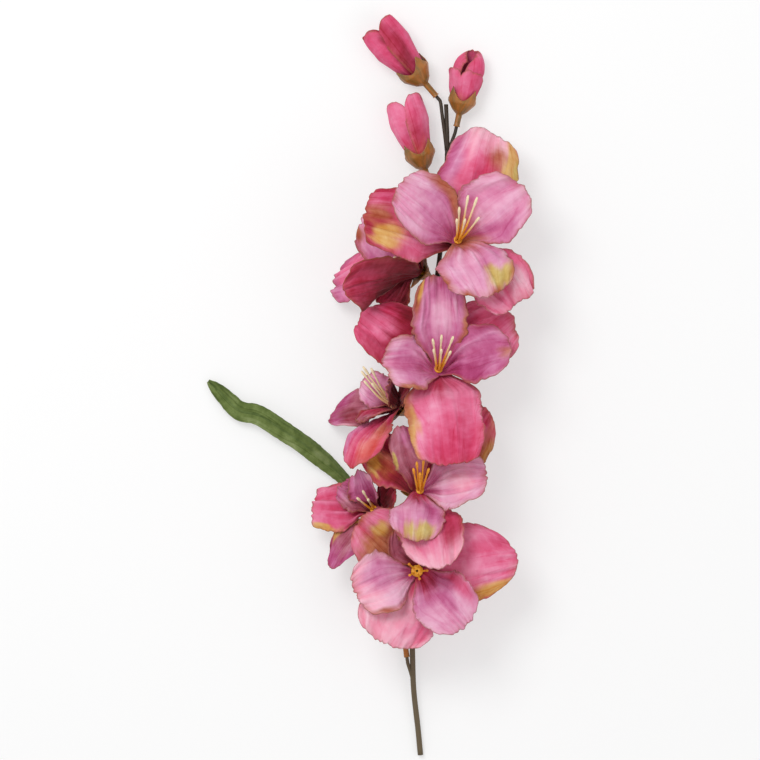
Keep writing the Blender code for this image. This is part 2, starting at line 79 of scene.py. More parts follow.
# The petal layers.
FABRIC_STEP = 0.8          # thickness of a layer in the frame
GAP = 0.3                  # clearance between pieces that touch
LAYER_LIFT = -0.2          # how far the fabric's middle is moved along the flower's axis
LAYER_SPREAD = 0.3         # and the inner layer again, as its folds need more room
OUTER_HUB = 6.2            # where the outer layer splits into its lobes
INNER_HUB = 4.6            # the same for the inner layer
HUB_HOLE = 2.2             # hole in a layer for the stamen plug
LOBE_OUTLINE = (0.5, 0.26) # where a plain lobe is broadest, and how far its tip is rounded
LOBE_FOOT = 0.2            # width of a lobe where it leaves the hub, as a share of its own
LOBE_NARROWS = 0.4         # how much its width is drawn in at the tip
HUB_BLEND = 0.3            # how far along it the hub's ring turns into the lobe
HUB_CALM = 0.25            # how far along it the cloth starts to ruffle
INSIDE = 0.93              # the lobe's direction is taken this far out, clear of its corners
# Its cut edge: the slow change of its size, and its teeth, each as height, teeth for each
# radian round the lobe, and where in the noise and with which seed they start. Then the
# rounded scallops between them: their height, how close they stand, and their level.
OUTLINE_DRIFT = 0.045
TEETH = ((0.8, 4.5, 60, 12), (1.0, 9, 20, 1), (0.6, 17, 40, 2))
SCALLOPS = (0.7, 0.55, 0.4)
# Half widths of lobes whose waves and ruffles have their full height.
WAVED_WIDTH = 33
RUFFLED_WIDTH = 30
# How sharp a fold is, then how much the pressed folds, fine creases and valleys count in a lobe's
# relief, and in its painted light and shade, with ridges painted lighter and valleys painted
# darker; the last is a level.
FOLD_SHARPNESS = 2.4
RELIEF = (0.7, 0.3, 1.5)
FOLD_LIGHT_AND_SHADE = (0.3, 0.2, 0.8, -0.2)

# Calyxes, their tubes, and the stubs of the stem.
CALYX_DEPTH = 12.0         # from the petals down to the pedicel tube
TUBE_LENGTH = 15.0         # pedicel tube of the calyx
TUBE_RADIUS = 2.5
CALYX_WALL = 0.7
MOUTH_FLARE = 0.5          # how much wider a tube starts where the stub goes in
MOUTH = 1.2                # length of that flare
CUP = ((0.6, 4.6), (0.33, 6.0), (0.2, 7.4))   # calyx wall: share of its depth, radius
SEPALS = 4
SEPAL_NOTCH = 0.15         # height of the wall between two sepals, as a share of them
FLOWER_SEPAL = (3.0, 8.5)  # how far a sepal reaches up and outwards
BUD_SEPAL = (12.0, 2.0)
BUD_FOOT = (3.0, 0.8)      # a bud calyx's first step: height, room round the petals
BUD_ROOM = 2.1             # room round the petals at the calyx's rim
STUB_RADIUS = 1.4
STUB_IN_TUBE = 5.0         # how far a stub reaches into its tube
STUB_LEAN = 0.35           # how near the stem a stub starts to bend away
STEM_RADIUS = 2.2
TIP_RADII = (1.9, 1.7)     # the same half way up and at the tip
BORE_RADIUS = 1.1
GROOVES = 18               # moulded lengthwise in a calyx
GROOVE_DEPTH = 0.16
CALYX_WAVE = 0.25          # how far its wall wanders
SHELL_SHARE = 0.7          # thickness of its visible wall, as a share of CALYX_WALL
BORE_SHOWN = 12.0          # how deep the bore is made behind the cut end

# The petals of the buds.
PETAL_FOOT = 6.0           # a bud petal's foot above the start of the calyx
BUD_WAIST = 3.2            # radius there
BUD_FLATTEN = 0.85         # buds are pressed a little flat, front to back
TIP_PRESS = 0.36           # how much more the tip is pressed, so that its end looks shut
WRAP = 1.4                 # how far one edge of a bud petal lies outside the other's
TIP_UNWRAP = 8             # degrees by which its edges open at the tip
TIP_FALL = 0.2             # how much lower its sides are than its peak
PEAK_SHARPNESS = 2.5       # how fast they fall away from it
PRESS_FROM = 0.45          # height from which the tip is pressed, as a share of the bud
DOME_FROM = 0.6            # the same for its closing
DOME = 0.98                # how round its closing is, up to 1
BUD_SWELL = (0.06, 0.7, 0.6)   # its girth at the foot, height of full girth, roundness
BUD_GRAIN = 24             # half the width of a bud petal's cloth, laid flat

# The disc in the middle of a flower.
HUB_STACK = 2.0            # height of the two petal layers at the hub
DISC_HEIGHT = 2.4          # top of the disc above the petal layers
WELL = (1.0, 2.5)          # radius and depth of the small hole in its middle
PLUG_RADIUS = 1.5
PLUG_DEPTH = 13
ANTHER_SWELL = 0.45        # how much thicker a filament is at its anther

REST_HEIGHT = 0.5          # lowest middle of the fabric above the surface
REST_SOFTNESS = 1.6        # height over which a sinking edge bends to lie along it
FAR_FROM_CUT = 9.0         # distance from a cut edge that counts as none

# The main stem's centre line from its cut end to its tip.
STEM_PATH = [(39, -297, 2.6), (37, -276, 4), (33.5, -244, 7), (32.5, -214, 10), (31.5, -170, 13),
             (32, -120, 15), (35, -60, 16), (40, 0, 16), (48, 60, 16), (55, 110, 16),
             (59, 160, 15), (60.5, 196, 14), (60, 214, 13), (59.5, 227, 12.5)]

# A lobe: turn about the flower's axis from the +Y side, length, half width, opening
# angle at its base and at its tip, cup, twist. Some lobes have their own outline: how far
# along they reach their full width, and how far their tip is rounded, from 0 to 1.
FLOWERS = {
    1: dict(hub=(68, 116, 52), facing=(0.17, 0.36, 0.92), root=78, stamens="long",
            outer=[(19, 99, 31, 50, 108, -0.2, 0, 0.45, 0.2),
                   (142, 78, 27, 52, 112, -0.2, 0, 0.5, 0.12),
                   (-77, 84, 30, 50, 104, -0.2, 0, 0.4, 0.12)],
            inner=[(-57, 74, 28, 36, 88, 0.15, 0), (56, 71, 29, 36, 90, 0.15, 0),
                   (164, 69, 30, 36, 98, -0.1, 0)]),
    2: dict(hub=(37, 93, 33), facing=(-0.75, 0.42, 0.51), root=58, tube=8, stamens="small",
            outer=[(170, 78, 24, 29, 40, 0.1, -90, 0.25, 0.26), (-112, 80, 26, 44, 86, 0, 0),
                   (6, 52, 20, 40, 78, 0, 0), (-148, 41, 15, 68, 98, 0, 80, 0.6, 0.2)],
            inner=[(-53, 66, 25, 28, 64, 0.1, 0), (70, 24, 6.5, 16, 28, 0.1, 0),
                   (165, 30, 9, 14, 27, 0.1, 0)]),
    3: dict(hub=(53, 13, 50), facing=(0.06, 0.34, 0.93), root=-28,
            outer=[(54, 76, 30, 50, 112, -0.2, 0), (176, 90, 31, 52, 104, -0.2, 0, 0.25, 0.12),
                   (-50, 81, 28, 53, 121, -0.2, 0, 0.4, 0.24)],
            inner=[(0, 79, 23, 36, 90, 0.15, 0), (79, 65, 25, 36, 92, 0.15, 0, 0.6, 0.26),
                   (-93, 52, 25, 36, 90, 0.15, 0)]),
    4: dict(hub=(20, -16, 33), facing=(-0.75, 0.45, 0.48), root=-55, tube=8,
            outer=[(172, 70, 21, 50, 92, -0.1, 30, 0.6, 0.4),
                   (-111, 66, 19, 46, 94, 0.1, 0, 0.65, 0.5),
                   (56, 34, 14, 46, 76, 0, 0)],
            inner=[(-64, 37, 15, 28, 58, 0.1, 0), (60, 30, 12, 20, 42, 0.2, 0),
                   (-173, 38, 14, 30, 56, 0.1, 0)]),
    5: dict(hub=(38.5, -84, 51), facing=(-0.03, 0.34, 0.94), root=-122, stamens="close",
            outer=[(37, 88, 28, 50, 108, -0.2, 0), (166, 72, 26, 52, 104, -0.2, 0),
                   (-50, 60, 20, 50, 94, -0.2, 0)],
            inner=[(-20, 56, 14, 36, 84, 0.15, 0), (84, 62, 26, 36, 92, 0.15, 0),
                   (-176, 56, 23, 36, 92, -0.1, 0)]),
    6: dict(hub=(3, -100, 26), facing=(-0.5, 0.42, 0.76), root=-136, tube=8, stamens="small",
            outer=[(-97, 52, 21, 46, 84, -0.1, 0, 0.5, 0.08),
                   (-154, 60, 17, 56, 112, 0, 0, 0.65, 0.5),
                   (50, 34, 15, 40, 70, 0, 0)],
            inner=[(-8, 38, 14, 20, 50, 0.5, 0), (-62, 36, 14, 34, 66, 0.1, 0),
                   (140, 18, 8, 20, 40, 0.1, 0)]),
    7: dict(hub=(36, -148, 42), facing=(0.0, 0.1, 0.99), root=-196, tube=10, stamens="short",
            outer=[(83, 87, 33, 52, 112, -0.2, 0, 0.45, 0.5), (-158, 69, 34, 52, 100, -0.2, 0),
                   (-48, 63, 26, 54, 102, -0.2, 0)],
            inner=[(-18, 42, 18, 42, 88, 0.15, 0), (140, 67, 27, 44, 92, 0.15, 0, 0.6, 0.26),
                   (-112, 60, 26, 44, 92, 0.15, 0, 0.6, 0.26)]),
}

# How each lobe is dyed: its tones from base to rim, then spots as tone, how far along
# the lobe, how far across it, and size as a share of its length.
# Wine at a lobe's base is partly the dye's own dark and partly painted shade between the lobes.
# Lobes that lie in shade, such as flower 2's dark outer lobes, flower 4's and flower 6's inner
# lobes and flower 7's top inner lobe, are given wine and dusty tones as painted shade.
DYES = {
    1: dict(outer=[("crimson pink blush", [("rust", 0.72, 0.4, 0.22), ("ochre", 0.76, 0.8, 0.32),
                                           ("olive", 0.66, 1.0, 0.2), ("plum", 0.5, -0.9, 0.32),
                                           ("mauve", 0.75, -0.8, 0.3), ("rose", 0.5, 0.0, 0.3)]),
                   ("crimson rose pink", [("blush", 0.85, -0.4, 0.3), ("blush", 0.6, 0.5, 0.2)]),
                   ("wine rose crimson", [("rose", 0.85, 0.6, 0.26), ("rust", 0.84, 0.05, 0.2),
                                           ("ochre", 0.7, -0.5, 0.3), ("pink", 0.42, -0.6, 0.3)])],
            inner=[("plum mauve lilac", [("rust", 0.35, 0.9, 0.24), ("rust", 0.68, 0.98, 0.24),
                                         ("lilac", 0.7, -0.4, 0.35)]),
                   ("rust mauve lilac", [("lilac", 0.6, -0.2, 0.4), ("mauve", 0.6, 0.7, 0.2)]),
                   ("rust mauve lilac", [("lilac", 0.5, 0.3, 0.4), ("olive", 0.86, -0.5, 0.3)])]),
    2: dict(outer=[("wine wine crimson", [("crimson", 0.7, 0.3, 0.3)]),
                   ("rose pink mauve", [("pink", 0.8, 0.3, 0.3)]), ("wine crimson coral", []),
                   ("wine wine crimson", [])],
            inner=[("mauve mauve lilac", [("rust", 0.95, -0.6, 0.2), ("plum", 0.3, 0.0, 0.3)]),
                   ("crimson rose mauve", []), ("crimson rose mauve", [])]),
    3: dict(outer=[("crimson rose pink", []),
                   ("crimson pink rose", [("ochre", 0.62, 0.95, 0.28), ("rust", 0.42, 0.95, 0.2),
                                          ("pink", 0.5, 0.1, 0.3), ("rose", 0.8, -0.5, 0.4)]),
                   ("wine crimson rose", [("pink", 0.72, -0.2, 0.26), ("wine", 0.35, 0.8, 0.3)])],
            inner=[("plum mauve mauve", [("rust", 0.8, -0.85, 0.22), ("rust", 0.5, 0.95, 0.2),
                                         ("ochre", 0.9, -0.75, 0.14),
                                         ("lilac", 0.6, 0.1, 0.3)]),
                   ("plum plum mauve", [("mauve", 0.5, -0.4, 0.35), ("rust", 0.95, 0.2, 0.16)]),
                   ("plum mauve lilac", [("mauve", 0.6, 0.4, 0.3), ("rust", 0.7, -0.95, 0.2)])]),
    4: dict(outer=[("crimson rose rose", [("rust", 0.45, -0.6, 0.24), ("mauve", 0.6, 0.9, 0.36),
                                          ("coral", 0.75, -0.3, 0.34)]),
                   ("wine dusty plum", [("wine", 0.6, -0.45, 0.3), ("blush", 0.8, -1.0, 0.2)]),
                   ("wine wine crimson", [])],
            inner=[("wine mauve lilac", []), ("wine wine dusty", []),
                   ("wine crimson dusty", [])]),
    5: dict(outer=[("crimson rose rose", [("rust", 0.75, 0.8, 0.22), ("ochre", 0.7, 1.0, 0.16)]),
                   ("crimson rose blush", [("pink", 0.7, 0.1, 0.3), ("crimson", 0.6, -0.65, 0.3)]),
                   ("wine crimson rose", [("rust", 0.6, -0.4, 0.34), ("ochre", 0.75, -0.5, 0.28)])],
            inner=[("wine dusty dusty", [("olive", 0.6, -0.9, 0.16), ("mauve", 0.85, 0.3, 0.3)]),
                   ("plum lilac lilac", [("blush", 0.7, 0.2, 0.3), ("plum", 0.45, -0.7, 0.16)]),
                   ("crimson mauve lilac", [("plum", 0.45, -0.5, 0.26),
                                            ("olive", 0.88, -0.15, 0.36),
                                            ("lilac", 0.5, 0.7, 0.36)])]),
    6: dict(outer=[("crimson rose pink", [("ochre", 0.8, -0.85, 0.26)]),
                   ("wine dusty plum", [("ochre", 0.5, 0.8, 0.26)]), ("wine wine crimson", [])],
            inner=[("wine plum mauve", [("blush", 0.9, 0.6, 0.2)]), ("wine dusty mauve", []),
                   ("wine crimson dusty", [])]),
    7: dict(outer=[("crimson pink pink", [("rust", 0.6, 0.85, 0.26), ("ochre", 0.66, 1.0, 0.26),
                                          ("ochre", 0.88, 0.75, 0.26)]),
                   ("rose blush blush", [("pink", 0.7, -0.5, 0.3)]),
                   ("wine rust pink", [("ochre", 0.7, 0.2, 0.2), ("wine", 0.4, 0.5, 0.3)])],
            inner=[("wine dusty dusty", [("olive", 0.85, 0.1, 0.25)]),
                   ("crimson mauve lilac", [("rose", 0.55, -0.8, 0.26), ("lilac", 0.7, 0.4, 0.3)]),
                   ("plum lilac blush", [("mauve", 0.5, 0.4, 0.3), ("rust", 0.75, -0.95, 0.16)])]),
}
SPOT_SIZE = 0.6            # where a spot's colour is half gone, in sizes of the spot
SPOT_SOFTNESS = 0.95       # over how much of that it fades
CRISP_SOFTNESS = 0.5       # the same for the tones that were brushed on last
CRISP_TONES = ("olive", "ochre")
SPOT_STRENGTH = 0.92
FOLD_SHADING_STRENGTH = 0.28        # how far the painted fold shading lightens the ridges and darkens the valleys

# How far the heat has browned the margin of a lobe, where that is more than usual.
BROWNED = {(1, "inner", 0): 0.5, (1, "inner", 1): 0.4, (1, "inner", 2): 1.0, (3, "inner", 0): 0.8,
           (3, "inner", 1): 0.5, (3, "inner", 2): 0.7, (3, "outer", 0): 0.6, (5, "inner", 1): 0.5,
           (5, "inner", 2): 0.6, (5, "outer", 0): 0.7, (7, "inner", 0): 0.9, (7, "inner", 2): 0.5,
           (7, "outer", 0): 0.4, (7, "outer", 2): 0.9, (2, "inner", 0): 0.6, (4, "outer", 0): 0.5}
SLIGHTLY = 0.2

# Buds: where the calyx starts, the way the bud points, its length, its girth and how much
# of that is lost at the top. For each petal, its half wrap in degrees, how far it spirals
# and stands out, and where round it is tallest; and how tall it is. Then where the split
# between the two lies, its tube's length, where its stub leaves the stem, and its sepals' turn.
BUDS = {
    1: dict(base=(43, 243.5, 13), facing=(-0.655, 0.756, 0.06), length=56.5, radius=16.5,
            close=0.1, wraps=((104, 1, 0, 0.55), (104, 1, 0, 0.55)), tall=(0.99, 1.0), split=5,
            tube=13, root=190, sepal_turn=0.35),
    2: dict(base=(70, 219, 12.0), facing=(0.21, 0.977, 0.03), length=46.5, radius=13.5,
            close=0.7, wraps=((96, 0, 1, 0.3), (176, 0, -1, 0.0)), tall=(0.64, 1.0), split=-70,
            tube=10, root=186, sepal_turn=0.5),
    3: dict(base=(42.5, 174.5, 16), facing=(-0.31, 0.95, 0.0), length=55.5, radius=16,
            close=0.1, wraps=((104, 1, 0, 0.55), (104, 1, 0, 0.55)), tall=(0.96, 1.0), split=0,
            tube=10, root=128, sepal_turn=0.5),
}
# The dyes of each bud's outer and inner petal. The wine and crimson spots along the petals' edges,
# across -1 and 0.8, are painted shade in the gap between the two petals.
BUD_DYES = {
    1: [("crimson rose rose", [("wine", 0.3, -1, 0.3), ("crimson", 0.6, -1, 0.3),
                               ("wine", 0.8, -1, 0.2)]),
        ("crimson rose rose", [("wine", 0.45, 0.8, 0.3), ("crimson", 0.7, 0.8, 0.3)])],
    2: [("coral rose rose", [("pink", 0.7, 0.2, 0.4)]),
        ("crimson rose rose", [("pink", 0.85, 0.3, 0.2)])],
    3: [("coral rose pink", [("crimson", 0.4, -1, 0.14), ("pink", 0.6, -0.4, 0.3)]),
        ("coral rose pink", [("crimson", 0.45, 0.8, 0.24), ("pink", 0.6, 0.2, 0.3)])],
}

# The leaf's rib from the blade's foot to its tip, and its stalk down to the stub.
LEAF_PATH = [(-9, -86, 4), (-30, -66, 5), (-52, -48, 8), (-70, -36, 9), (-91, -23, 8),
             (-107, -19, 6), (-120, -7, 3), (-132, 4, 1)]
LEAF_FOOT = [(28, -218, 8.5), (26, -204, 8), (20, -168, 6), (8, -118, 5)]
LEAF_ROOT = -237
LEAF_HALF_WIDTH = 8.0
LEAF_FOLD = 3.0            # how far the blade's edges stand up from its rib
LEAF_ROLL = 20             # how far the blade leans at its foot
LEAF_TAPER = 0.72          # where along it the tip starts to narrow
LEAF_FOOT_WIDTH = 0.55     # width of the blade at its foot, as a share of its own
LEAF_EDGE_WAVE = 0.06      # how much its width wanders
LEAF_BUCKLE = 1.3          # how far its edges stand up and down
VEINS = 5                  # pressed on each side of the rib
VEIN_DEPTH = 0.14
LEAF_GRAIN = 160           # length of its cloth
LEAF_FABRIC = 1.0
RIB_RADIUS = 0.9
RIB_RADII = (2.3, 2.0, 1.3, 1.1, 1.0, 0.9, 0.8, 0.7)

# Stamens: base disc, and threads as turn, length, spread at the tip, lean to the +Y side.
STAMENS = {
    "long": dict(disc=3.4, threads=[(20, 41, 5, 15), (60, 42, 9, 14), (100, 33, 10, 8),
                                    (180, 34, 4, 10), (-120, 30, 5, 9), (-40, 36, 5, 8)]),
    "close": dict(disc=3.2, threads=[(-30, 36, 2, 8), (40, 38, 4, 9), (90, 33, 6, 7),
                                     (170, 30, 2, 8), (-100, 32, 3, 8)]),
    "tall": dict(disc=3.4, threads=[(0, 40, 3, 9), (60, 38, 9, 8), (120, 31, 7, 8),
                                    (180, 34, 4, 10), (-120, 30, 5, 9), (-60, 36, 6, 8)]),
    "small": dict(disc=3.0, threads=[(10, 22, 2, 3), (100, 18, 3, 2), (-100, 20, 3, 2)]),
    "short": dict(disc=4.8, threads=[(20, 9, 5, 0), (92, 8, 6, 0), (164, 8, 5, 0),
                                     (236, 9, 5, 0), (308, 8, 6, 0)]),
}

DIPPED_DEEPER = (5, 7)     # flowers whose stamens are amber to the tip
DIPPED_PALER = (4,)        # and one whose stamens are cream nearly to the foot
PALER = 0.65

# Patterns, in metres: the pressed pleats of the two cloths, and their threads, which are
# 0.2 mm apart on the real thing and are drawn coarser so that they show.
PETAL_PLEAT = 0.0045
LEAF_PLEAT = 0.006
THREAD = 0.0011
# Patterns, as their number in a metre: dye blotches 9 mm across, nibbles of the hot knife
# 2.4 mm apart, pools of paint 1.4 mm across.
BLOTCHES = 110.0
NIBBLES = 420.0
POOLS = 700.0
# The same across and along a piece, for marks that are drawn out: flow marks 2.2 by 17 mm,
# flecks of the stem 1.1 by 17 mm, draw lines of the wire 0.1 by 8 mm.
FLOW_MARKS = (450.0, 60.0)
FLECKS = (900.0, 60.0)
DRAW_LINES = (9000.0, 120.0)

# The stage, in metres.
VIEW_WIDTH = 0.608         # width of the surface that the camera sees
VIEW_CENTRE = Vector((0.0078, 0.0042, 0.0))
CAMERA_HEIGHT = 6.0        # high enough that the flowers aren't enlarged
SENSOR = 0.036
FLOOR_SIZE = 6.0
CARD_SHARE = 0.55          # how much of the surface's white is its own colour, seen directly
CARD_GLOW = 0.48           # and how much is a glow, so that shadows on it stay pale
SKY_LEVEL = 0.62           # strength of the world's light on the flowers
# Each lamp: name, place, size, watts. A large soft key from the upper left, a weaker fill.
LAMPS = (("key", (-0.7, 0.9, 1.8), 1.0, 20.0), ("fill", (1.3, -0.4, 1.5), 1.2, 3.0))


def linear(code):
    """An sRGB hex colour as linear red, green and blue."""
    values = [int(code[i:i + 2], 16) / 255 for i in (1, 3, 5)]
    return tuple(v / 12.92 if v <= 0.04045 else ((v + 0.055) / 1.055) ** 2.4 for v in values)


def colour_property(name, description, code):
    return FloatVectorProperty(name=name, description=description, default=linear(code),
                               subtype="COLOR", size=3, min=0.0, max=1.0)


def length_property(name, description, size):
    return FloatProperty(name=name, description=description, default=size, min=0.0,
                         subtype="DISTANCE", unit="LENGTH", precision=5)


class SpraySizes(bpy.types.PropertyGroup):
    """Sizes of the cloth and the mouldings."""
    cloth: length_property("Cloth", "Thickness of the petal fabric", 0.0005)
    scallop: length_property("Scallop", "Depth of the small scallops in a cut edge", 0.0012)
    ruffle: length_property("Ruffle", "Height of the ruffles along an edge", 0.003)
    swell: length_property("Swell", "Height of a petal's broad waves", 0.003)
    pleat: length_property("Pleat", "Height of the pressed pleats", 0.0011)
    filament: length_property("Filament", "Radius of a stamen's filament", 0.0008)


class SprayColours(bpy.types.PropertyGroup):
    """Dyes of the petals and colours of the other pieces."""
    lilac: colour_property("Lilac", "Palest mauve dye", "#E6A5C2")
    mauve: colour_property("Mauve", "Mauve dye", "#CE78A2")
    plum: colour_property("Plum", "Deep mauve dye", "#B64E80")
    blush: colour_property("Blush", "Palest pink dye", "#F5B1C5")
    pink: colour_property("Pink", "Pink dye", "#E6799D")
    rose: colour_property("Rose", "Deep pink dye", "#D8567E")
    coral: colour_property("Coral", "Coral dye", "#D9665F")
    crimson: colour_property("Crimson", "Crimson dye", "#AE2A4A")
    # Wine is partly the dye's own dark round the hub and partly painted shade there and on lobes
    # that lie in shade.
    wine: colour_property("Wine", "Darkest dye, round the hub", "#7E1A2A")
    ochre: colour_property("Ochre", "Ochre dye of the spots", "#D6A559")
    olive: colour_property("Olive", "Yellow-green dye of the spots", "#C9B05C")
    rust: colour_property("Rust", "Orange-brown dye of the spots", "#B0603F")
    # Dusty is partly painted shade, on lobes that lie in shade.
    dusty: colour_property("Dusty", "Greyed rose dye", "#AC5C70")
    singed: colour_property("Singed", "Brown of the heat-cut edges", "#9A5638")
    leaf: colour_property("Leaf", "Leaf dye", "#66763C")
    # Painted shade on the leaf, beside its rib and along its folded side; the rib's coating also
    # takes this as its own green.
    leaf_shadow_and_rib_green: colour_property("Leaf shade", "Leaf dye beside the rib", "#4B5E2E")
    # Painted highlight: lighter streaks on the leaf's creases.
    leaf_crease_highlight: colour_property("Leaf crease", "Rubbed creases of the leaf", "#8E9A66")
    calyx: colour_property("Calyx", "Tan of the calyxes", "#AC6A28")
    calyx_olive: colour_property("Calyx olive", "Olive flow in the calyxes", "#63521C")
    stem: colour_property("Stem", "Lower stem", "#63553F")
    stem_dark: colour_property("Dark stem", "Upper stem", "#31261A")
    filament: colour_property("Filament", "Yellow of the stamens", "#F2B233")
    anther: colour_property("Anther", "Cream tips of the stamens", "#F1DFB8")
    amber: colour_property("Amber", "Tips of the stamens that were dipped deeper", "#EBA02E")
    steel: colour_property("Steel", "Cut core wire", "#B4B2AE")
    floor: colour_property("Floor", "Surface that the stem lies on", "#F4F4F4")


def smooth(value):
    value = np.clip(value, 0.0, 1.0)
    return value * value * (3 - 2 * value)


def mix(start, end, share):
    return start + (end - start) * share


def wander(u, v, seed):
    """Noise from -1 to 1 that changes over about one unit of u or v."""
    table = np.random.default_rng(seed).uniform(-1, 1, (64, 64))
    u, v = np.broadcast_arrays(np.asarray(u, float), np.asarray(v, float))
    left, low = np.floor(u).astype(int), np.floor(v).astype(int)
    along, up = smooth(u - left), smooth(v - low)
    corner = [[table[(left + i) % 64, (low + j) % 64] for j in (0, 1)] for i in (0, 1)]
    return mix(mix(corner[0][0], corner[1][0], along), mix(corner[0][1], corner[1][1], along), up)


def unit(vectors):
    return vectors / np.maximum(np.linalg.norm(vectors, axis=-1, keepdims=True), 1e-9)


def axes(facing):
    """Up, right and facing directions of a flower, with up on the +Y side."""
    front = unit(np.array(facing, float))
    up = unit(np.array((0.0, 1.0, 0.0)) - front * front[1])
    return up, np.cross(up, front), front


def bud_axes(facing):
    """Upper side, right and facing directions of a bud."""
    front = unit(np.array(facing, float))
    sky = unit(np.array((0.0, 0.0, 1.0)) - front * front[2])
    return sky, np.cross(sky, front), front


def sheet(rows, columns):
    """A grid's places along it, from 0 to 1, and across it, from -1 to 1."""
    along = np.linspace(0, 1, rows)[:, None] * np.ones((1, columns))
    across = np.linspace(-1, 1, columns)[None, :] * np.ones((rows, 1))
    return along, across


def above_floor(points):
    """Points that would sink into the surface lie along it instead."""
    height = (points[..., 2] - REST_HEIGHT) / REST_SOFTNESS
    soft = np.log1p(np.exp(np.minimum(height, 20.0)))
    made = points.copy()
    made[..., 2] = REST_HEIGHT + REST_SOFTNESS * np.where(height < 20, soft, height)
    return made


def route(points, step):
    """Points about one step apart on a smooth curve through the given ones."""
    points = np.array(points, float)
    ends = np.vstack([2 * points[0] - points[1], points, 2 * points[-1] - points[-2]])
    made = []
    for before, start, end, after in zip(ends, ends[1:], ends[2:], ends[3:]):
        count = max(1, round(np.linalg.norm(end - start) / step))
        for u in np.arange(count) / count:
            made.append(0.5 * (2 * start + (end - before) * u
                               + (2 * before - 5 * start + 4 * end - after) * u * u
                               + (3 * start - before - 3 * end + after) * u * u * u))
    return np.array(made + [points[-1]])


def stem_point(y):
    """The main stem's centre where it crosses this height of the spray."""
    path = np.array(STEM_PATH, float)
    return np.array([np.interp(y, path[:, 1], path[:, i]) for i in range(3)])


def normals(points):
    """Unit normals of a grid of points, on the side that a petal opens to."""
    rows, columns = np.gradient(points, axis=0), np.gradient(points, axis=1)
    return unit(np.cross(columns, rows))


def piece(name, grids, look, node, thickness=0.0, round_columns=False):
    """One mesh from grids of (points, dye, grain), standing for a node of the frame.

    grain holds millimetres across and along the cloth, and from its cut edge.
    """
    shape, base, faces = bmesh.new(), 0, []
    stacked = [[], [], []]
    for points, dye, grain in grids:
        rows, columns = points.shape[:2]
        index = base + np.arange(rows * columns).reshape(rows, columns)
        if round_columns:
            index = np.hstack([index, index[:, :1]])
        faces += np.stack([index[:-1, :-1], index[:-1, 1:], index[1:, 1:], index[1:, :-1]],
                          axis=-1).reshape(-1, 4).tolist()
        for kept, values in zip(stacked, ((points + LAYOUT_SHIFT) * MM, dye, grain * MM)):
            kept.append(np.broadcast_to(values, (rows, columns, values.shape[-1]))
                        .reshape(rows * columns, -1))
        base += rows * columns
    points, dye, grain = (np.vstack(kept) for kept in stacked)
    mesh = bpy.data.meshes.new(name)
    mesh.from_pydata(points.tolist(), [], faces)
    colour = mesh.attributes.new("dye", "FLOAT_COLOR", "POINT")
    colour.data.foreach_set("color", np.hstack([dye, np.ones((len(dye), 1))]).ravel())
    cloth = mesh.attributes.new("grain", "FLOAT_VECTOR", "POINT")
    cloth.data.foreach_set("vector", grain.ravel())
    shape.from_mesh(mesh)
    bmesh.ops.remove_doubles(shape, verts=shape.verts, dist=0.00001)
    bmesh.ops.recalc_face_normals(shape, faces=shape.faces)
    shape.to_mesh(mesh)
    shape.free()
    mesh.polygons.foreach_set("use_smooth", [True] * len(mesh.polygons))
    mesh.materials.append(look)
    made = bpy.data.objects.new(name, mesh)
    bpy.context.scene.collection.objects.link(made)
    if thickness:
        shell = made.modifiers.new("thickness", "SOLIDIFY")
        shell.thickness, shell.offset = thickness, 0.0
    low, high = (np.array(corner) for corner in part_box(node))
    off = np.abs((points.min(axis=0) + points.max(axis=0) - low - high) / 2).max()
    if off > BOX_SLACK:
        raise RuntimeError("%s lies %.1f mm away from %s" % (name, off / MM, node))
    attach(made, "root")
    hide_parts(node)
    return made


def swept(points, radii, sides, ridges=0, ridge=0.0):
    """A round bar's grid along the points, its ends closed, with fine lengthwise ridges."""
    ahead = unit(np.gradient(points, axis=0))
    side = unit(np.cross(ahead[0], (0.3, 0.1, 1.0)))
    turn = np.linspace(0, 2 * math.pi, sides, endpoint=False)
    swell = 1 + ridge * np.cos(ridges * turn)
    rings = []
    for centre, forward, radius in zip(points, ahead, radii):
        side = unit(side - forward * (side @ forward))
        over = np.cross(forward, side)
        circle = np.outer(np.cos(turn), side) + np.outer(np.sin(turn), over)
        rings.append(centre + circle * (swell * radius)[:, None])
    ends = [np.repeat(points[i][None, :], sides, axis=0) for i in (0, -1)]
    return np.array([ends[0], *rings, ends[1]])


def along_of(grid):
    """Millimetres along a grid, one value for each of its rows, and round it."""
    steps = np.linalg.norm(np.diff(grid.mean(axis=1), axis=0), axis=1)
    return np.concatenate([[0.0], np.cumsum(steps)])


def grain_of(grid):
    """The grain of a bar: millimetres round and along it, far from any cut edge."""
    rows, sides = grid.shape[:2]
    across = np.linspace(0, 1, sides)[None, :] * 15.0
    along = along_of(grid)[:, None]
    cut = np.full((rows, sides), FAR_FROM_CUT)
    return np.stack(np.broadcast_arrays(across, along, cut), axis=-1)


def spread_radii(radii, count):
    """That many radii, running evenly through the given ones."""
    return np.interp(np.linspace(0, len(radii) - 1, count), np.arange(len(radii)), radii)


# Node helpers and materials

def add(tree, kind, inputs=None, **settings):
    """A node with its settings, and its sockets set to a value or linked to an output."""
    node = tree.nodes.new("ShaderNode" + kind)
    for name, value in settings.items():
        setattr(node, name, value)
    for name, value in (inputs or {}).items():
        if isinstance(value, bpy.types.NodeSocket):
            tree.links.new(value, node.inputs[name])
        else:
            node.inputs[name].default_value = value
    return node


def blank(name, **sockets):
    """A material with its shader's plain sockets set; gives it, its tree and shader."""
    made = bpy.data.materials.new(name)
    made.use_nodes = True
    shader = made.node_tree.nodes["Principled BSDF"]
    for socket, value in sockets.items():
        shader.inputs[socket.replace("_", " ")].default_value = value
    return made, made.node_tree, shader


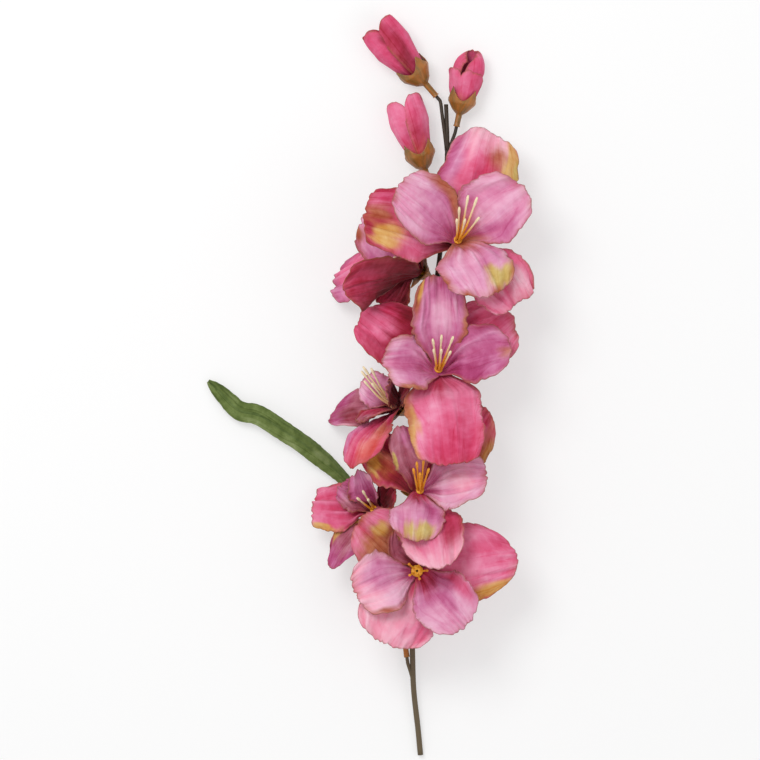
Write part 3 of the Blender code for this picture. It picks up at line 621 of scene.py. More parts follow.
def cloth_look(name, pleat, colours):
    """Dyed polyester taffeta, heat-cut and pressed: a dry cloth with pleats that fan out.

    The eye sees painted shade in the pleats' valleys and painted highlight on their ridges, painted
    shade along sharp creases, blotches of dye, a faint weave and a thin brown edge.
    """
    made, tree, shader = blank(name, Roughness=0.72, Sheen_Weight=0.12, Sheen_Roughness=0.5,
                               Specular_IOR_Level=0.25)
    dye = add(tree, "Attribute", attribute_name="dye").outputs["Color"]
    grain = add(tree, "Attribute", attribute_name="grain").outputs["Vector"]
    apart = add(tree, "SeparateXYZ", {"Vector": grain})
    flat = add(tree, "CombineXYZ", {"X": apart.outputs["X"], "Y": apart.outputs["Y"]}).outputs[0]

    # Pleats: long thin folds that reach from the hub to the rim; their noise also drives the bump
    # below.
    fanned = add(tree, "Mapping", {"Vector": flat, "Scale": (1 / pleat, 0.06 / pleat, 1.0)})
    folds = add(tree, "TexNoise", {"Vector": fanned.outputs[0], "Scale": 1.0, "Detail": 3.0,
                                   "Roughness": 0.55, "Distortion": 0.4})
    # Painted shade and highlight along the pleats: the dye is darker where the pleat noise is low
    # and lighter where it is high, in step with the bump.
    pleat_shading = add(tree, "MapRange", {"Value": folds.outputs["Fac"], "From Min": 0.3, "From Max": 0.7,
                                 "To Min": 1.07, "To Max": 0.96})
    blotch = add(tree, "TexNoise", {"Vector": flat, "Scale": BLOTCHES, "Detail": 4.0,
                                    "Roughness": 0.6})
    cloud = add(tree, "MapRange", {"Value": blotch.outputs["Fac"], "From Min": 0.3,
                                   "From Max": 0.7, "To Min": 0.82, "To Max": 1.24})
    # Painted shade along sharp creases, which lie where a second, wider noise crosses its middle
    # value; they have no relief of their own.
    wide = add(tree, "Mapping", {"Vector": flat, "Scale": (0.6 / pleat, 0.035 / pleat, 1.0)})
    field = add(tree, "TexNoise", {"Vector": wide.outputs[0], "Scale": 1.0, "Detail": 2.0,
                                   "Roughness": 0.5, "Distortion": 0.3})
    off = add(tree, "Math", {0: field.outputs["Fac"], 1: 0.5}, operation="SUBTRACT")
    near = add(tree, "Math", {0: off.outputs[0]}, operation="ABSOLUTE")
    crease = add(tree, "MapRange", {"Value": near.outputs[0], "From Max": 0.02,
                                    "To Min": 1.25, "To Max": 1.0})
    # The gamma for the dye: the painted pleat and crease shading times the dye blotches.
    depth = add(tree, "Math", {0: pleat_shading.outputs[0], 1: cloud.outputs[0]}, operation="MULTIPLY")
    depth = add(tree, "Math", {0: depth.outputs[0], 1: crease.outputs[0]}, operation="MULTIPLY")
    shaded = add(tree, "Gamma", {"Color": dye, "Gamma": depth.outputs[0]})

    # The hot knife browns the edge unevenly, over a millimetre or so.
    nibble = add(tree, "TexNoise", {"Vector": flat, "Scale": NIBBLES, "Detail": 2.0})
    width = add(tree, "MapRange", {"Value": nibble.outputs["Fac"], "From Min": 0.3,
                                   "From Max": 0.7, "To Min": 0.0002, "To Max": 0.003})
    burnt = add(tree, "MapRange", {"Value": apart.outputs["Z"], "From Min": 0.0,
                                   "From Max": width.outputs[0], "To Min": 0.7, "To Max": 0.0})
    edged = add(tree, "Mix", {"Factor": burnt.outputs[0], "A": shaded.outputs[0],
                              "B": (*colours.singed, 1.0)}, data_type="RGBA")
    tree.links.new(edged.outputs["Result"], shader.inputs["Base Color"])

    # The weave is two sets of threads, and stands on the pleats.
    turn = 2 * math.pi / THREAD
    scaled = add(tree, "VectorMath", {0: flat, "Scale": turn}, operation="SCALE")
    threads = add(tree, "SeparateXYZ", {"Vector": scaled.outputs[0]})
    warp = add(tree, "Math", {0: threads.outputs["X"]}, operation="SINE")
    weft = add(tree, "Math", {0: threads.outputs["Y"]}, operation="SINE")
    weave = add(tree, "Math", {0: warp.outputs[0], 1: weft.outputs[0]}, operation="MULTIPLY")
    relief = add(tree, "Bump", {"Height": weave.outputs[0], "Strength": 0.25,
                                "Distance": 0.00006})
    pressed = add(tree, "Bump", {"Height": folds.outputs["Fac"], "Strength": 0.5,
                                 "Distance": 0.0012, "Normal": relief.outputs[0]})
    tree.links.new(pressed.outputs[0], shader.inputs["Normal"])
    return made


def petal_cloth(colours):
    return cloth_look("dyed polyester taffeta", PETAL_PLEAT, colours)


def leaf_cloth(colours):
    return cloth_look("pressed green polyester", LEAF_PLEAT, colours)


def calyx_plastic(colours):
    """Injection-moulded polyethylene: waxy tan with olive flow marks along the draw."""
    made, tree, shader = blank("moulded tan polyethylene", Roughness=0.32,
                               Specular_IOR_Level=0.5)
    grain = add(tree, "Attribute", attribute_name="grain").outputs["Vector"]
    drawn = add(tree, "Mapping", {"Vector": grain, "Scale": (*FLOW_MARKS, 0.0)})
    flow = add(tree, "TexNoise", {"Vector": drawn.outputs[0], "Scale": 1.0, "Detail": 4.0,
                                  "Roughness": 0.6, "Distortion": 0.6})
    share = add(tree, "MapRange", {"Value": flow.outputs["Fac"], "From Min": 0.38,
                                   "From Max": 0.66, "To Min": 0.0, "To Max": 0.85})
    colour = add(tree, "Mix", {"Factor": share.outputs[0], "A": (*colours.calyx, 1.0),
                               "B": (*colours.calyx_olive, 1.0)}, data_type="RGBA")
    tree.links.new(colour.outputs["Result"], shader.inputs["Base Color"])
    relief = add(tree, "Bump", {"Height": flow.outputs["Fac"], "Strength": 0.5,
                                "Distance": 0.0005})
    tree.links.new(relief.outputs[0], shader.inputs["Normal"])
    return made


def stem_plastic(colours):
    """Polyethylene drawn over wire: dull brown, ridged along its length, darker to the top."""
    made, tree, shader = blank("drawn brown polyethylene", Roughness=0.55,
                               Specular_IOR_Level=0.35)
    place = add(tree, "TexCoord").outputs["Object"]
    height = add(tree, "SeparateXYZ", {"Vector": place}).outputs["Y"]
    rise = add(tree, "MapRange", {"Value": height, "From Min": -0.22, "From Max": 0.0})
    drawn = add(tree, "Mapping", {"Vector": place, "Scale": (*FLECKS, FLECKS[0])})
    fleck = add(tree, "TexNoise", {"Vector": drawn.outputs[0], "Scale": 1.0, "Detail": 4.0})
    spread = add(tree, "MapRange", {"Value": fleck.outputs["Fac"], "From Min": 0.3,
                                    "From Max": 0.7, "To Min": -0.25, "To Max": 0.25})
    share = add(tree, "Math", {0: rise.outputs[0], 1: spread.outputs[0]}, operation="ADD",
                use_clamp=True)
    colour = add(tree, "Mix", {"Factor": share.outputs[0], "A": (*colours.stem, 1.0),
                               "B": (*colours.stem_dark, 1.0)}, data_type="RGBA")
    tree.links.new(colour.outputs["Result"], shader.inputs["Base Color"])
    relief = add(tree, "Bump", {"Height": fleck.outputs["Fac"], "Strength": 0.5,
                                "Distance": 0.0003})
    tree.links.new(relief.outputs[0], shader.inputs["Normal"])
    return made


def dipped_plastic(name, roughness):
    """Soft moulded plastic dipped in paint: the coat pools, so its tone drifts a little."""
    made, tree, shader = blank(name, Roughness=roughness, Specular_IOR_Level=0.4)
    dye = add(tree, "Attribute", attribute_name="dye").outputs["Color"]
    place = add(tree, "TexCoord").outputs["Object"]
    pool = add(tree, "TexNoise", {"Vector": place, "Scale": POOLS, "Detail": 3.0})
    tone = add(tree, "MapRange", {"Value": pool.outputs["Fac"], "From Min": 0.3,
                                  "From Max": 0.7, "To Min": 0.92, "To Max": 1.1})
    shaded = add(tree, "VectorMath", {0: dye, "Scale": tone.outputs[0]}, operation="SCALE")
    tree.links.new(shaded.outputs[0], shader.inputs["Base Color"])
    relief = add(tree, "Bump", {"Height": pool.outputs["Fac"], "Strength": 0.3,
                                "Distance": 0.0002})
    tree.links.new(relief.outputs[0], shader.inputs["Normal"])
    return made


def cut_wire(colours):
    """Drawn steel wire, sheared off: bright, with fine draw lines along it."""
    made, tree, shader = blank("drawn steel wire", Metallic=1.0)
    place = add(tree, "TexCoord").outputs["Object"]
    drawn = add(tree, "Mapping", {"Vector": place, "Scale": (*DRAW_LINES, DRAW_LINES[0])})
    lines = add(tree, "TexNoise", {"Vector": drawn.outputs[0], "Scale": 1.0, "Detail": 2.0})
    tone = add(tree, "MapRange", {"Value": lines.outputs["Fac"], "To Min": 0.7, "To Max": 1.1})
    colour = add(tree, "VectorMath", {0: colours.steel, "Scale": tone.outputs[0]},
                 operation="SCALE")
    tree.links.new(colour.outputs[0], shader.inputs["Base Color"])
    dull = add(tree, "MapRange", {"Value": lines.outputs["Fac"], "To Min": 0.25, "To Max": 0.5})
    tree.links.new(dull.outputs[0], shader.inputs["Roughness"])
    return made


def seen_directly(tree):
    """1 for the camera's rays and for those that metal or glass sends on, else 0."""
    rays = add(tree, "LightPath").outputs
    seen = add(tree, "Math", {0: rays["Is Camera Ray"], 1: rays["Is Glossy Ray"]},
               operation="MAXIMUM")
    return add(tree, "Math", {0: seen.outputs[0], 1: rays["Is Transmission Ray"]},
               operation="MAXIMUM").outputs[0]


# Petals

def sectors(lobes):
    """The stretch of the hub ring that each lobe grows from, half way to its neighbours."""
    order = sorted(range(len(lobes)), key=lambda i: lobes[i][0] % 360)
    spans = {}
    for place, i in enumerate(order):
        turn = lobes[i][0] % 360
        before = lobes[order[place - 1]][0] % 360
        after = lobes[order[(place + 1) % len(order)]][0] % 360
        spans[i] = (turn - (turn - before) % 360 / 2, turn + (after - turn) % 360 / 2)
    return [spans[i] for i in range(len(lobes))]


def lobe_points(directions, hub_radius, lobe, span, x, across):
    """Points of a lobe from the hub point, x from 0 at the hub ring to 1 at the tip."""
    up, right, front = directions
    turn, length, half_width, base_open, tip_open, cup, twist, *outline = lobe
    broad, rounded = outline or LOBE_OUTLINE
    edge_turn = np.radians(span[0] + (span[1] - span[0]) * (across + 1) / 2)[..., None]
    fan = up * np.cos(edge_turn) + right * np.sin(edge_turn)
    along = x * np.sqrt(1 - rounded * across * across)
    share = across * np.sqrt(1 - LOBE_NARROWS * x ** 5)
    spread = LOBE_FOOT + (1 - LOBE_FOOT) * smooth(x / broad)
    width = (half_width * share * spread)[..., None]
    start, bend = math.radians(base_open), math.radians(tip_open - base_open)
    angle = (start + bend * along)[..., None]
    reach = hub_radius + (length - hub_radius) * (math.cos(start) - np.cos(angle)) / bend
    rise = (length - hub_radius) * (np.sin(angle) - math.sin(start)) / bend
    centre = math.radians(turn)
    out = up * math.cos(centre) + right * math.sin(centre)
    side = right * math.cos(centre) - up * math.sin(centre)
    normal = front * np.sin(angle) - out * np.cos(angle)
    roll = math.radians(twist) * along[..., None]
    tilted = side * np.cos(roll) + normal * np.sin(roll)
    lifted = normal * np.cos(roll) - side * np.sin(roll)
    lobe_shape = (out * reach + front * rise + tilted * width
                  + lifted * (cup * np.abs(share)[..., None] * np.abs(width)))
    fan_shape = fan * reach + front * rise
    return mix(fan_shape, lobe_shape, smooth(x / HUB_BLEND)[..., None])


def dyed(tones, spots, browned, x, across, seed, colours):
    """Colour over a lobe: three tones from base to rim, spots of other dyes and of painted shade,
    brown margin.
    """
    base, middle, rim = (np.array(getattr(colours, tone)) for tone in tones.split())
    drift = (0.12 * wander(across * 2.5, x * 2.5, seed) + 0.05 * wander(across * 9, x * 4, seed + 1)
             + 0.05 * wander(across * 16 + 20, x * 1.5, seed + 2))
    colour = mix(base, middle, smooth((x + drift) / 0.42)[..., None])
    colour = mix(colour, rim, smooth((x + drift - 0.55) / 0.4)[..., None])
    for i, (tone, at, beside, size) in enumerate(spots):
        # A spot at a side runs along it.
        stretch = (0.6, 0.75) if abs(beside) > 0.7 else (1.0, 0.45)
        off = np.hypot((x - at) * stretch[0], (across - beside) * stretch[1]) / size
        off += 0.3 * wander(across * 5, x * 5, seed + 3 + i)
        off += 0.08 * wander(across * 15 + 20, x * 5, seed + 30 + i)
        soft = CRISP_SOFTNESS if tone in CRISP_TONES else SPOT_SOFTNESS
        share = SPOT_STRENGTH * (1 - smooth((off - SPOT_SIZE + soft / 2) / soft))
        colour = mix(colour, np.array(getattr(colours, tone)), share[..., None])
    margin = np.maximum(smooth((np.abs(across) - 0.72) / 0.28), smooth((x - 0.86) / 0.14))
    patchy = 0.6 + 0.6 * wander(across * 3 + 9, x * 4, seed + 5)
    share = np.clip(browned * margin * patchy * smooth(x / 0.25), 0, 1)
    return mix(colour, np.array(colours.rust), share[..., None])


def lobe_grid(directions, hub_radius, lobe, span, seed, sizes, rows=60, columns=61):
    """A lobe's points with its cut outline, ruffles and pleats, x, across, and the painted light
    and shade of its folds.
    """
    length, half_width = lobe[1], lobe[2]
    ring = np.linspace(0, 1, 4)[:-1]
    x, across = sheet(rows, columns)
    free = smooth(x / HUB_CALM)

    # The outline: a slow change of size, and ragged scallops at the very edge.
    round_turn = np.arctan2(across * half_width, (x - 0.35) * length * 0.7)
    slow = OUTLINE_DRIFT * wander(round_turn * 1.3 + 9, 0.5, seed)
    bite = sum(height * wander(round_turn * fine + start, 0.5, seed + step)
               for height, fine, start, step in TEETH)
    round_height, close, level = SCALLOPS
    bite = bite + round_height * np.abs(np.sin(round_turn * half_width * close)) - level
    depth = sizes.scallop / MM
    edge_x, edge_t = smooth((x - 0.65) / 0.35), smooth((np.abs(across) - 0.6) / 0.4)
    new_x = x * (1 + free * slow) + depth * bite * edge_x / length
    new_t = across * (1 + free * (slow + depth * bite * edge_t / half_width))
    points = lobe_points(directions, hub_radius, lobe, span, new_x, new_t)

    # Out of the sheet: broad waves, ruffled margins and pressed pleats.
    margin = np.maximum(smooth((np.abs(across) - 0.45) / 0.55), smooth((x - 0.6) / 0.4)) * free
    waves = sizes.swell / MM * free * wander(across * 1.4 + 5, x * 1.8, seed + 4)
    waves = waves * half_width / WAVED_WIDTH
    ruffle = sizes.ruffle / MM * margin * wander(round_turn * 3.2 + 30, x * 1.2, seed + 5)
    ruffle *= half_width / RUFFLED_WIDTH
    fan_lines = across * (3 + half_width * 0.09) + 0.5 * wander(across * 2, x * 3, seed + 6)
    folds = 1 - FOLD_SHARPNESS * np.abs(wander(fan_lines + 32, x * 1.1 + 4, seed + 7))
    creases = wander(across * (8 + half_width * 0.3) + 50, x * 1.6 + 4, seed + 8)
    bent = across * (1.6 + half_width * 0.03) + 0.6 * wander(across * 1.5, x * 2, seed + 9)
    valleys = 1 - FOLD_SHARPNESS * np.abs(wander(bent + 14, x * 0.8 + 4, seed + 10))
    relief = RELIEF[0] * folds + RELIEF[1] * creases + RELIEF[2] * valleys
    pleats = sizes.pleat / MM * free * relief
    # Painted light and shade from the same folds: raised ridges are painted lighter, valleys
    # darker.
    fold_light_weights = FOLD_LIGHT_AND_SHADE[0] * folds + FOLD_LIGHT_AND_SHADE[1] * creases + FOLD_LIGHT_AND_SHADE[2] * valleys + FOLD_LIGHT_AND_SHADE[3]
    painted_fold_light = free * np.clip(fold_light_weights, -1, 1)
    # At the very edge the corners are pinched, and the sheet has no clear direction.
    inside = lobe_points(directions, hub_radius, lobe, span, INSIDE * x, INSIDE * across)
    points = points + normals(inside) * (waves + ruffle + pleats)[..., None]

    # The flat ring round the hub hole, shared with the other lobes.
    edge = points[:1]
    hole = unit(edge) * HUB_HOLE
    inner = mix(hole, edge, ring[:, None, None])
    zeros = np.zeros((len(ring), columns))
    return (np.vstack([inner, points]), np.vstack([zeros, x]),
            np.vstack([np.repeat(across[:1], len(ring), axis=0), across]),
            np.vstack([zeros, painted_fold_light]))


class GLADIOLUS_OT_flowers(bpy.types.Operator):
    """Make the two petal layers of every open flower"""
    bl_idname = "gladiolus.flowers"
    bl_label = "Open flowers"

    def execute(self, context):
        sizes, colours = context.scene.spray_sizes, context.scene.spray_colours
        look = petal_cloth(colours)
        for number, design in FLOWERS.items():
            directions = axes(design["facing"])
            front = directions[2]
            lift = FABRIC_STEP / 2 + LAYER_LIFT
            for layer, hub_radius in (("outer", OUTER_HUB), ("inner", INNER_HUB)):
                hub = np.array(design["hub"]) + front * lift
                lift += FABRIC_STEP + GAP + LAYER_SPREAD
                lobes, grids = design[layer], []
                for i, (lobe, span) in enumerate(zip(lobes, sectors(lobes))):
                    seed = 1000 * number + (500 if layer == "inner" else 0) + 20 * i
                    points, x, across, painted_fold_light = lobe_grid(directions, hub_radius, lobe, span,
                                                          seed, sizes)
                    tones, spots = DYES[number][layer][i]
                    browned = BROWNED.get((number, layer, i), SLIGHTLY)
                    dye = dyed(tones, spots, browned, x, across, seed + 11, colours)
                    # The folds' painted light and shade: dye lightened on the ridges and darkened
                    # in the valleys.
                    dye = dye ** (1 - FOLD_SHADING_STRENGTH * painted_fold_light)[..., None]
                    cut = np.minimum((1 - np.abs(across)) * lobe[2] * (0.3 + x), (1 - x) * lobe[1])
                    cut = np.where(x < 0.06, FAR_FROM_CUT, cut)
                    grain = np.stack([across * lobe[2] * (0.45 + 0.55 * x) + 90 * i,
                                      x * lobe[1], cut], axis=-1)
                    grids.append((above_floor(hub + points), dye, grain))
                node = "flower_%d_%s_petals" % (number, layer)
                piece("flower_%d_%s_cloth" % (number, layer), grids, look, node,
                      sizes.cloth)
        return {"FINISHED"}


class GLADIOLUS_OT_buds(bpy.types.Operator):
    """Make the two rolled petals of every bud"""
    bl_idname = "gladiolus.buds"
    bl_label = "Buds"

    def execute(self, context):
        sizes, colours = context.scene.spray_sizes, context.scene.spray_colours
        look = petal_cloth(colours)
        for number, design in BUDS.items():
            sky, right, front = bud_axes(design["facing"])
            x, across = sheet(56, 64)
            for which, half in enumerate(("outer", "inner")):
                seed = 9000 + 100 * number + 50 * which
                span, spiral_share, offset, peak = design["wraps"][which]
                wrapped = across * (span - TIP_UNWRAP * x ** 3)
                angle = np.radians(design["split"] + 90 + 180 * which + wrapped)[..., None]
                # The tip is pressed flat, so that the bud looks shut from its end.
                height_share = (x * design["tall"][which])[..., None]
                pressed = smooth((height_share - PRESS_FROM) / (1 - PRESS_FROM))
                flatten = BUD_FLATTEN - TIP_PRESS * pressed
                fan = sky * np.cos(angle) * flatten + right * np.sin(angle)
                off_peak = np.abs(across) - peak
                reach = np.where(off_peak < 0, max(peak, 0.01), 1 - peak)
                fall = TIP_FALL * np.abs(off_peak / reach) ** PEAK_SHARPNESS
                length = design["tall"][which] * design["length"]
                bite = wander(across * 7, 0.5, seed) + 0.4 * wander(across * 17, 0.5, seed + 1)
                tip = smooth((x - 0.75) / 0.25)
                height = PETAL_FOOT + length * x * (1 - fall * x)
                height += 0.8 * sizes.scallop / MM * bite * tip
                spiral = (bud_girth(design, x * design["tall"][which])
                          + WRAP * (spiral_share * across + offset))
                points = (np.array(design["base"]) + front * height[..., None]
                          + fan * spiral[..., None])
                free = smooth((x - 0.15) / 0.3)
                folds = 1 - 2 * np.abs(wander(across * 7 + 20, x * 1.6, seed + 4))
                waves = 0.9 * wander(across * 3 + 8, x * 2.2, seed + 5)
                ruffle = 1.0 * tip * wander(across * 5 + 8, x * 2.2, seed + 6)
                out = free * (sizes.pleat / MM * folds * 0.4 + waves + ruffle)
                points = above_floor(points - normals(points) * out[..., None])
                tones, spots = BUD_DYES[number][which]
                dye = dyed(tones, spots, SLIGHTLY, x, across, seed + 9, colours)
                cut = np.minimum((1 - x) * length, (1 - np.abs(across)) * BUD_GRAIN)
                grain = np.stack([across * BUD_GRAIN, x * length, cut], axis=-1)
                name = "bud_%d_%s" % (number, half)
                piece(name + "_cloth", [(points, dye, grain)], look, name + "_petal",
                      sizes.cloth)
        return {"FINISHED"}


def bud_girth(design, along):
    """A bud's radius this share of the way up it."""
    foot, full, roundness = BUD_SWELL
    swell = np.minimum(1.0, foot + along / full) ** roundness
    up_the_dome = np.clip((along - DOME_FROM) / (1 - DOME_FROM), 0, 1)
    dome = 1 - np.sqrt(1 - DOME * up_the_dome ** 2)
    closing = design["radius"] * design["close"] * dome
    return BUD_WAIST + (design["radius"] - BUD_WAIST) * swell - closing


def tube_profile(foot, top):
    """A pedicel tube's wall as height and radius, with its flared mouth at the foot."""
    middle = TUBE_RADIUS - CALYX_WALL / 2
    return [(foot, middle + MOUTH_FLARE), (foot + MOUTH, middle), (top, middle)]


def calyx(name, base, directions, profile, sepal, turn, look, colours):
    """Tube, cup and four pointed sepals in one thin moulding, grooved along its length."""
    up, right, front = directions
    rows, columns = 36, 64
    place = np.linspace(0, len(profile), rows)[:, None] * np.ones((1, columns))
    around = np.linspace(0, 1, columns, endpoint=False)[None, :] * np.ones((rows, 1))
    steps = np.arange(len(profile))
    height = np.interp(place, steps, [p[0] for p in profile])
    radius = np.interp(place, steps, [p[1] for p in profile])
    rim = np.clip((place - len(profile) + 1), 0, 1)
    point = np.abs((SEPALS * around + turn) % 1.0 - 0.5) * 2
    wave = SEPAL_NOTCH + (1 - SEPAL_NOTCH) * point ** 2
    height = height + sepal[0] * wave * rim
    radius = radius + sepal[1] * wave * rim
    radius = radius + GROOVE_DEPTH * np.cos(2 * math.pi * GROOVES * around) * smooth(place / 3)
    radius = radius + CALYX_WAVE * wander(around * 7, place * 0.9, 77) * smooth(place / 3)
    angle = (2 * math.pi * around)[..., None]
    fan = up * np.cos(angle) + right * np.sin(angle)
    points = above_floor(np.array(base) + front * height[..., None] + fan * radius[..., None])
    grain = np.stack([around * 30, height + 30, np.full(place.shape, FAR_FROM_CUT)], axis=-1)
    dye = np.broadcast_to(np.array(colours.calyx), (rows, columns, 3))
    return piece(name + "_moulding", [(points, dye, grain)], look, name,
                 CALYX_WALL * SHELL_SHARE * MM, True)


class GLADIOLUS_OT_calyxes(bpy.types.Operator):
    """Make the calyx and pedicel tube of every flower and bud"""
    bl_idname = "gladiolus.calyxes"
    bl_label = "Calyxes"

    def execute(self, context):
        colours = context.scene.spray_colours
        look = calyx_plastic(colours)
        for number, design in FLOWERS.items():
            profile = tube_profile(-CALYX_DEPTH - design.get("tube", TUBE_LENGTH), -CALYX_DEPTH)
            profile += [(-CALYX_DEPTH * depth, radius) for depth, radius in CUP]
            calyx("flower_%d_calyx" % number, design["hub"], axes(design["facing"]), profile,
                  FLOWER_SEPAL, 0.0, look, colours)
        for number, design in BUDS.items():
            profile = tube_profile(-design["tube"], 0)
            profile += [(BUD_FOOT[0], bud_girth(design, 0) + BUD_FOOT[1]),
                        (design["length"] * 0.2, bud_girth(design, 0.2) + BUD_ROOM)]
            calyx("bud_%d_calyx" % number, design["base"], bud_axes(design["facing"]), profile,
                  BUD_SEPAL, design["sepal_turn"], look, colours)
        return {"FINISHED"}


class GLADIOLUS_OT_stamens(bpy.types.Operator):
    """Make the disc, filaments and anthers in the middle of every flower"""
    bl_idname = "gladiolus.stamens"
    bl_label = "Stamens"

    def execute(self, context):
        sizes, colours = context.scene.spray_sizes, context.scene.spray_colours
        look = dipped_plastic("dipped yellow polyethylene", 0.42)
        for number, design in FLOWERS.items():
            cream = np.array(colours.amber if number in DIPPED_DEEPER else colours.anther)
            gold = np.array(colours.filament)
            gold = mix(gold, cream, PALER) if number in DIPPED_PALER else gold
            up, right, front = axes(design["facing"])
            hub = np.array(design["hub"], float)
            kind = STAMENS[design.get("stamens", "tall")]
            disc, top = kind["disc"], HUB_STACK + DISC_HEIGHT
            well, deep = WELL
            profile = [(0, top - deep), (well - 0.1, top - deep), (well, top - 0.2),
                       (well + 0.3, top), (disc - 0.5, top - 0.1), (disc, top - 0.5),
                       (disc, HUB_STACK + 0.9), (PLUG_RADIUS, HUB_STACK + 0.4),
                       (PLUG_RADIUS, -PLUG_DEPTH), (0, -PLUG_DEPTH)]
            turn = np.linspace(0, 2 * math.pi, 40, endpoint=False)[:, None]
            circle = up * np.cos(turn) + right * np.sin(turn)
            rings = [hub + front * height + circle * radius for radius, height in profile]
            grid = np.array(rings)
            # Painted shade: the floor of the well in the disc is painted nearly black.
            shade = np.where(np.arange(len(profile))[:, None, None] < 2, gold * 0.08, gold)
            grids = [(grid, np.broadcast_to(shade, grid.shape), grain_of(grid))]
            for degrees, length, spread, bow in kind["threads"]:
                angle = math.radians(degrees)
                out = up * math.cos(angle) + right * math.sin(angle)
                start = hub + out * disc * 0.55 + front * (top / 2 + 1)
                tip = start + out * spread + up * bow + front * length
                middle = start + out * spread * 0.35 + up * bow * 0.2 + front * length * 0.45
                path = route([start, middle, tip], length / 14)
                share = np.linspace(0, 1, len(path))
                thick = sizes.filament / MM * (1.15 - 0.3 * share)
                thick += ANTHER_SWELL * smooth((share - 0.8) / 0.08) * smooth((1.02 - share) / 0.08)
                bar = swept(path, thick, 12)
                at = np.concatenate([[0], share, [1]])[:, None, None]
                tone = mix(gold, cream, smooth((at - 0.35) / 0.5)) * np.ones(bar.shape)
                grids.append((bar, tone, grain_of(bar)))
            node = "flower_%d_stamens" % number
            piece(node + "_moulding", grids, look, node, 0.0, True)
        return {"FINISHED"}


class GLADIOLUS_OT_leaf(bpy.types.Operator):
    """Make the folded strap leaf and its plastic-coated rib"""
    bl_idname = "gladiolus.leaf"
    bl_label = "Leaf"

    def execute(self, context):
        sizes, colours = context.scene.spray_sizes, context.scene.spray_colours
        path = route(LEAF_PATH, 3)
        along, across = sheet(120, 33)
        place = along[:, 0] * (len(path) - 1)
        steps = np.arange(len(path))
        centre = np.stack([np.interp(place, steps, path[:, i]) for i in range(3)], axis=-1)
        ahead = unit(np.gradient(centre, axis=0))
        flat = unit(np.cross(ahead, (0.0, 0.0, 1.0)))
        roll = np.radians(LEAF_ROLL * (1 - along[:, :1]))
        side = flat * np.cos(roll) + np.cross(flat, ahead) * np.sin(roll)
        raised = np.cross(side, ahead)
        spread = LEAF_FOOT_WIDTH + (1 - LEAF_FOOT_WIDTH) * smooth(along / 0.35)
        width = LEAF_HALF_WIDTH * spread
        to_tip = np.maximum(0.0, (along - LEAF_TAPER) / (1 - LEAF_TAPER))
        width = width * np.sqrt(np.maximum(0.02, 1 - to_tip ** 2.2))
        width = width * (1 + LEAF_EDGE_WAVE * wander(along * 9, across * 0.6 + 3, 41))
        nibble = 0.25 * wander(along * 60, np.sign(across) + 3, 42) * smooth(np.abs(across) / 0.9)
        fold = LEAF_FOLD * (1 - 0.6 * along) * np.abs(across)
        fold = fold + LEAF_BUCKLE * wander(along * 9, across * 1.2 + 8, 43) * np.abs(across)
        veins = VEIN_DEPTH * np.cos(across * 2 * math.pi * VEINS)
        up_by = fold + veins + RIB_RADIUS + LEAF_FABRIC / 2 + GAP + 0.1
        points = (centre[:, None, :] + side[:, None, :] * (across * width + nibble)[..., None]
                  + raised[:, None, :] * up_by[..., None])
        # Painted shade: beside is the share of plain leaf green, which is lower at the rib and,
        # near the foot, on the side where the fold lies in shade.
        beside = 0.45 + 0.55 * smooth((np.abs(across) - 0.02) / 0.2)
        beside *= 1 - 0.45 * smooth((across - 0.4) / 0.3) * smooth((0.75 - along) / 0.3)
        # Painted highlight: lighter streaks along the leaf, mixed in at half strength.
        crease = smooth((wander(along * 7, across * 1.5 + 7, 44) - 0.1) / 0.6)
        tone = mix(np.array(colours.leaf_shadow_and_rib_green), np.array(colours.leaf), beside[..., None])
        tone = mix(tone, np.array(colours.leaf_crease_highlight), 0.5 * crease[..., None])
        cut = np.full(along.shape, FAR_FROM_CUT)
        grain = np.stack([across * LEAF_HALF_WIDTH, along * LEAF_GRAIN, cut], axis=-1)
        piece("leaf_cloth", [(above_floor(points), tone, grain)], leaf_cloth(colours),
              "leaf_blade", 1.2 * sizes.cloth)

        rib = route([*LEAF_FOOT, *LEAF_PATH[:-1]], 4)
        bar = swept(rib, spread_radii(RIB_RADII, len(rib)), 20, 5, 0.04)
        from_foot = along_of(bar)[:, None, None]
        tone = mix(np.array(colours.calyx), np.array(colours.leaf_shadow_and_rib_green),
                   smooth((from_foot - 9) / 8)) * np.ones(bar.shape)
        piece("leaf_rib_coating", [(bar, tone, grain_of(bar))],
              dipped_plastic("green plastic-coated wire", 0.5), "leaf_midrib",
              0.0, True)
        return {"FINISHED"}


def stub_grid(root_y, joint, direction):
    """A side branch from the stem's centre into the tube that sleeves over it."""
    root = stem_point(root_y)
    inside, before = joint + direction * STUB_IN_TUBE, joint - direction * STUB_IN_TUBE
    bend = mix(before, root, STUB_LEAN) + np.array((0.0, 0.0, 1.0))
    path = route([root, bend, before, joint, inside], 4)
    share = np.linspace(0, 1, len(path))
    return swept(path, STUB_RADIUS * (1 + 0.35 * (1 - share) ** 6), 18, 5, 0.03)


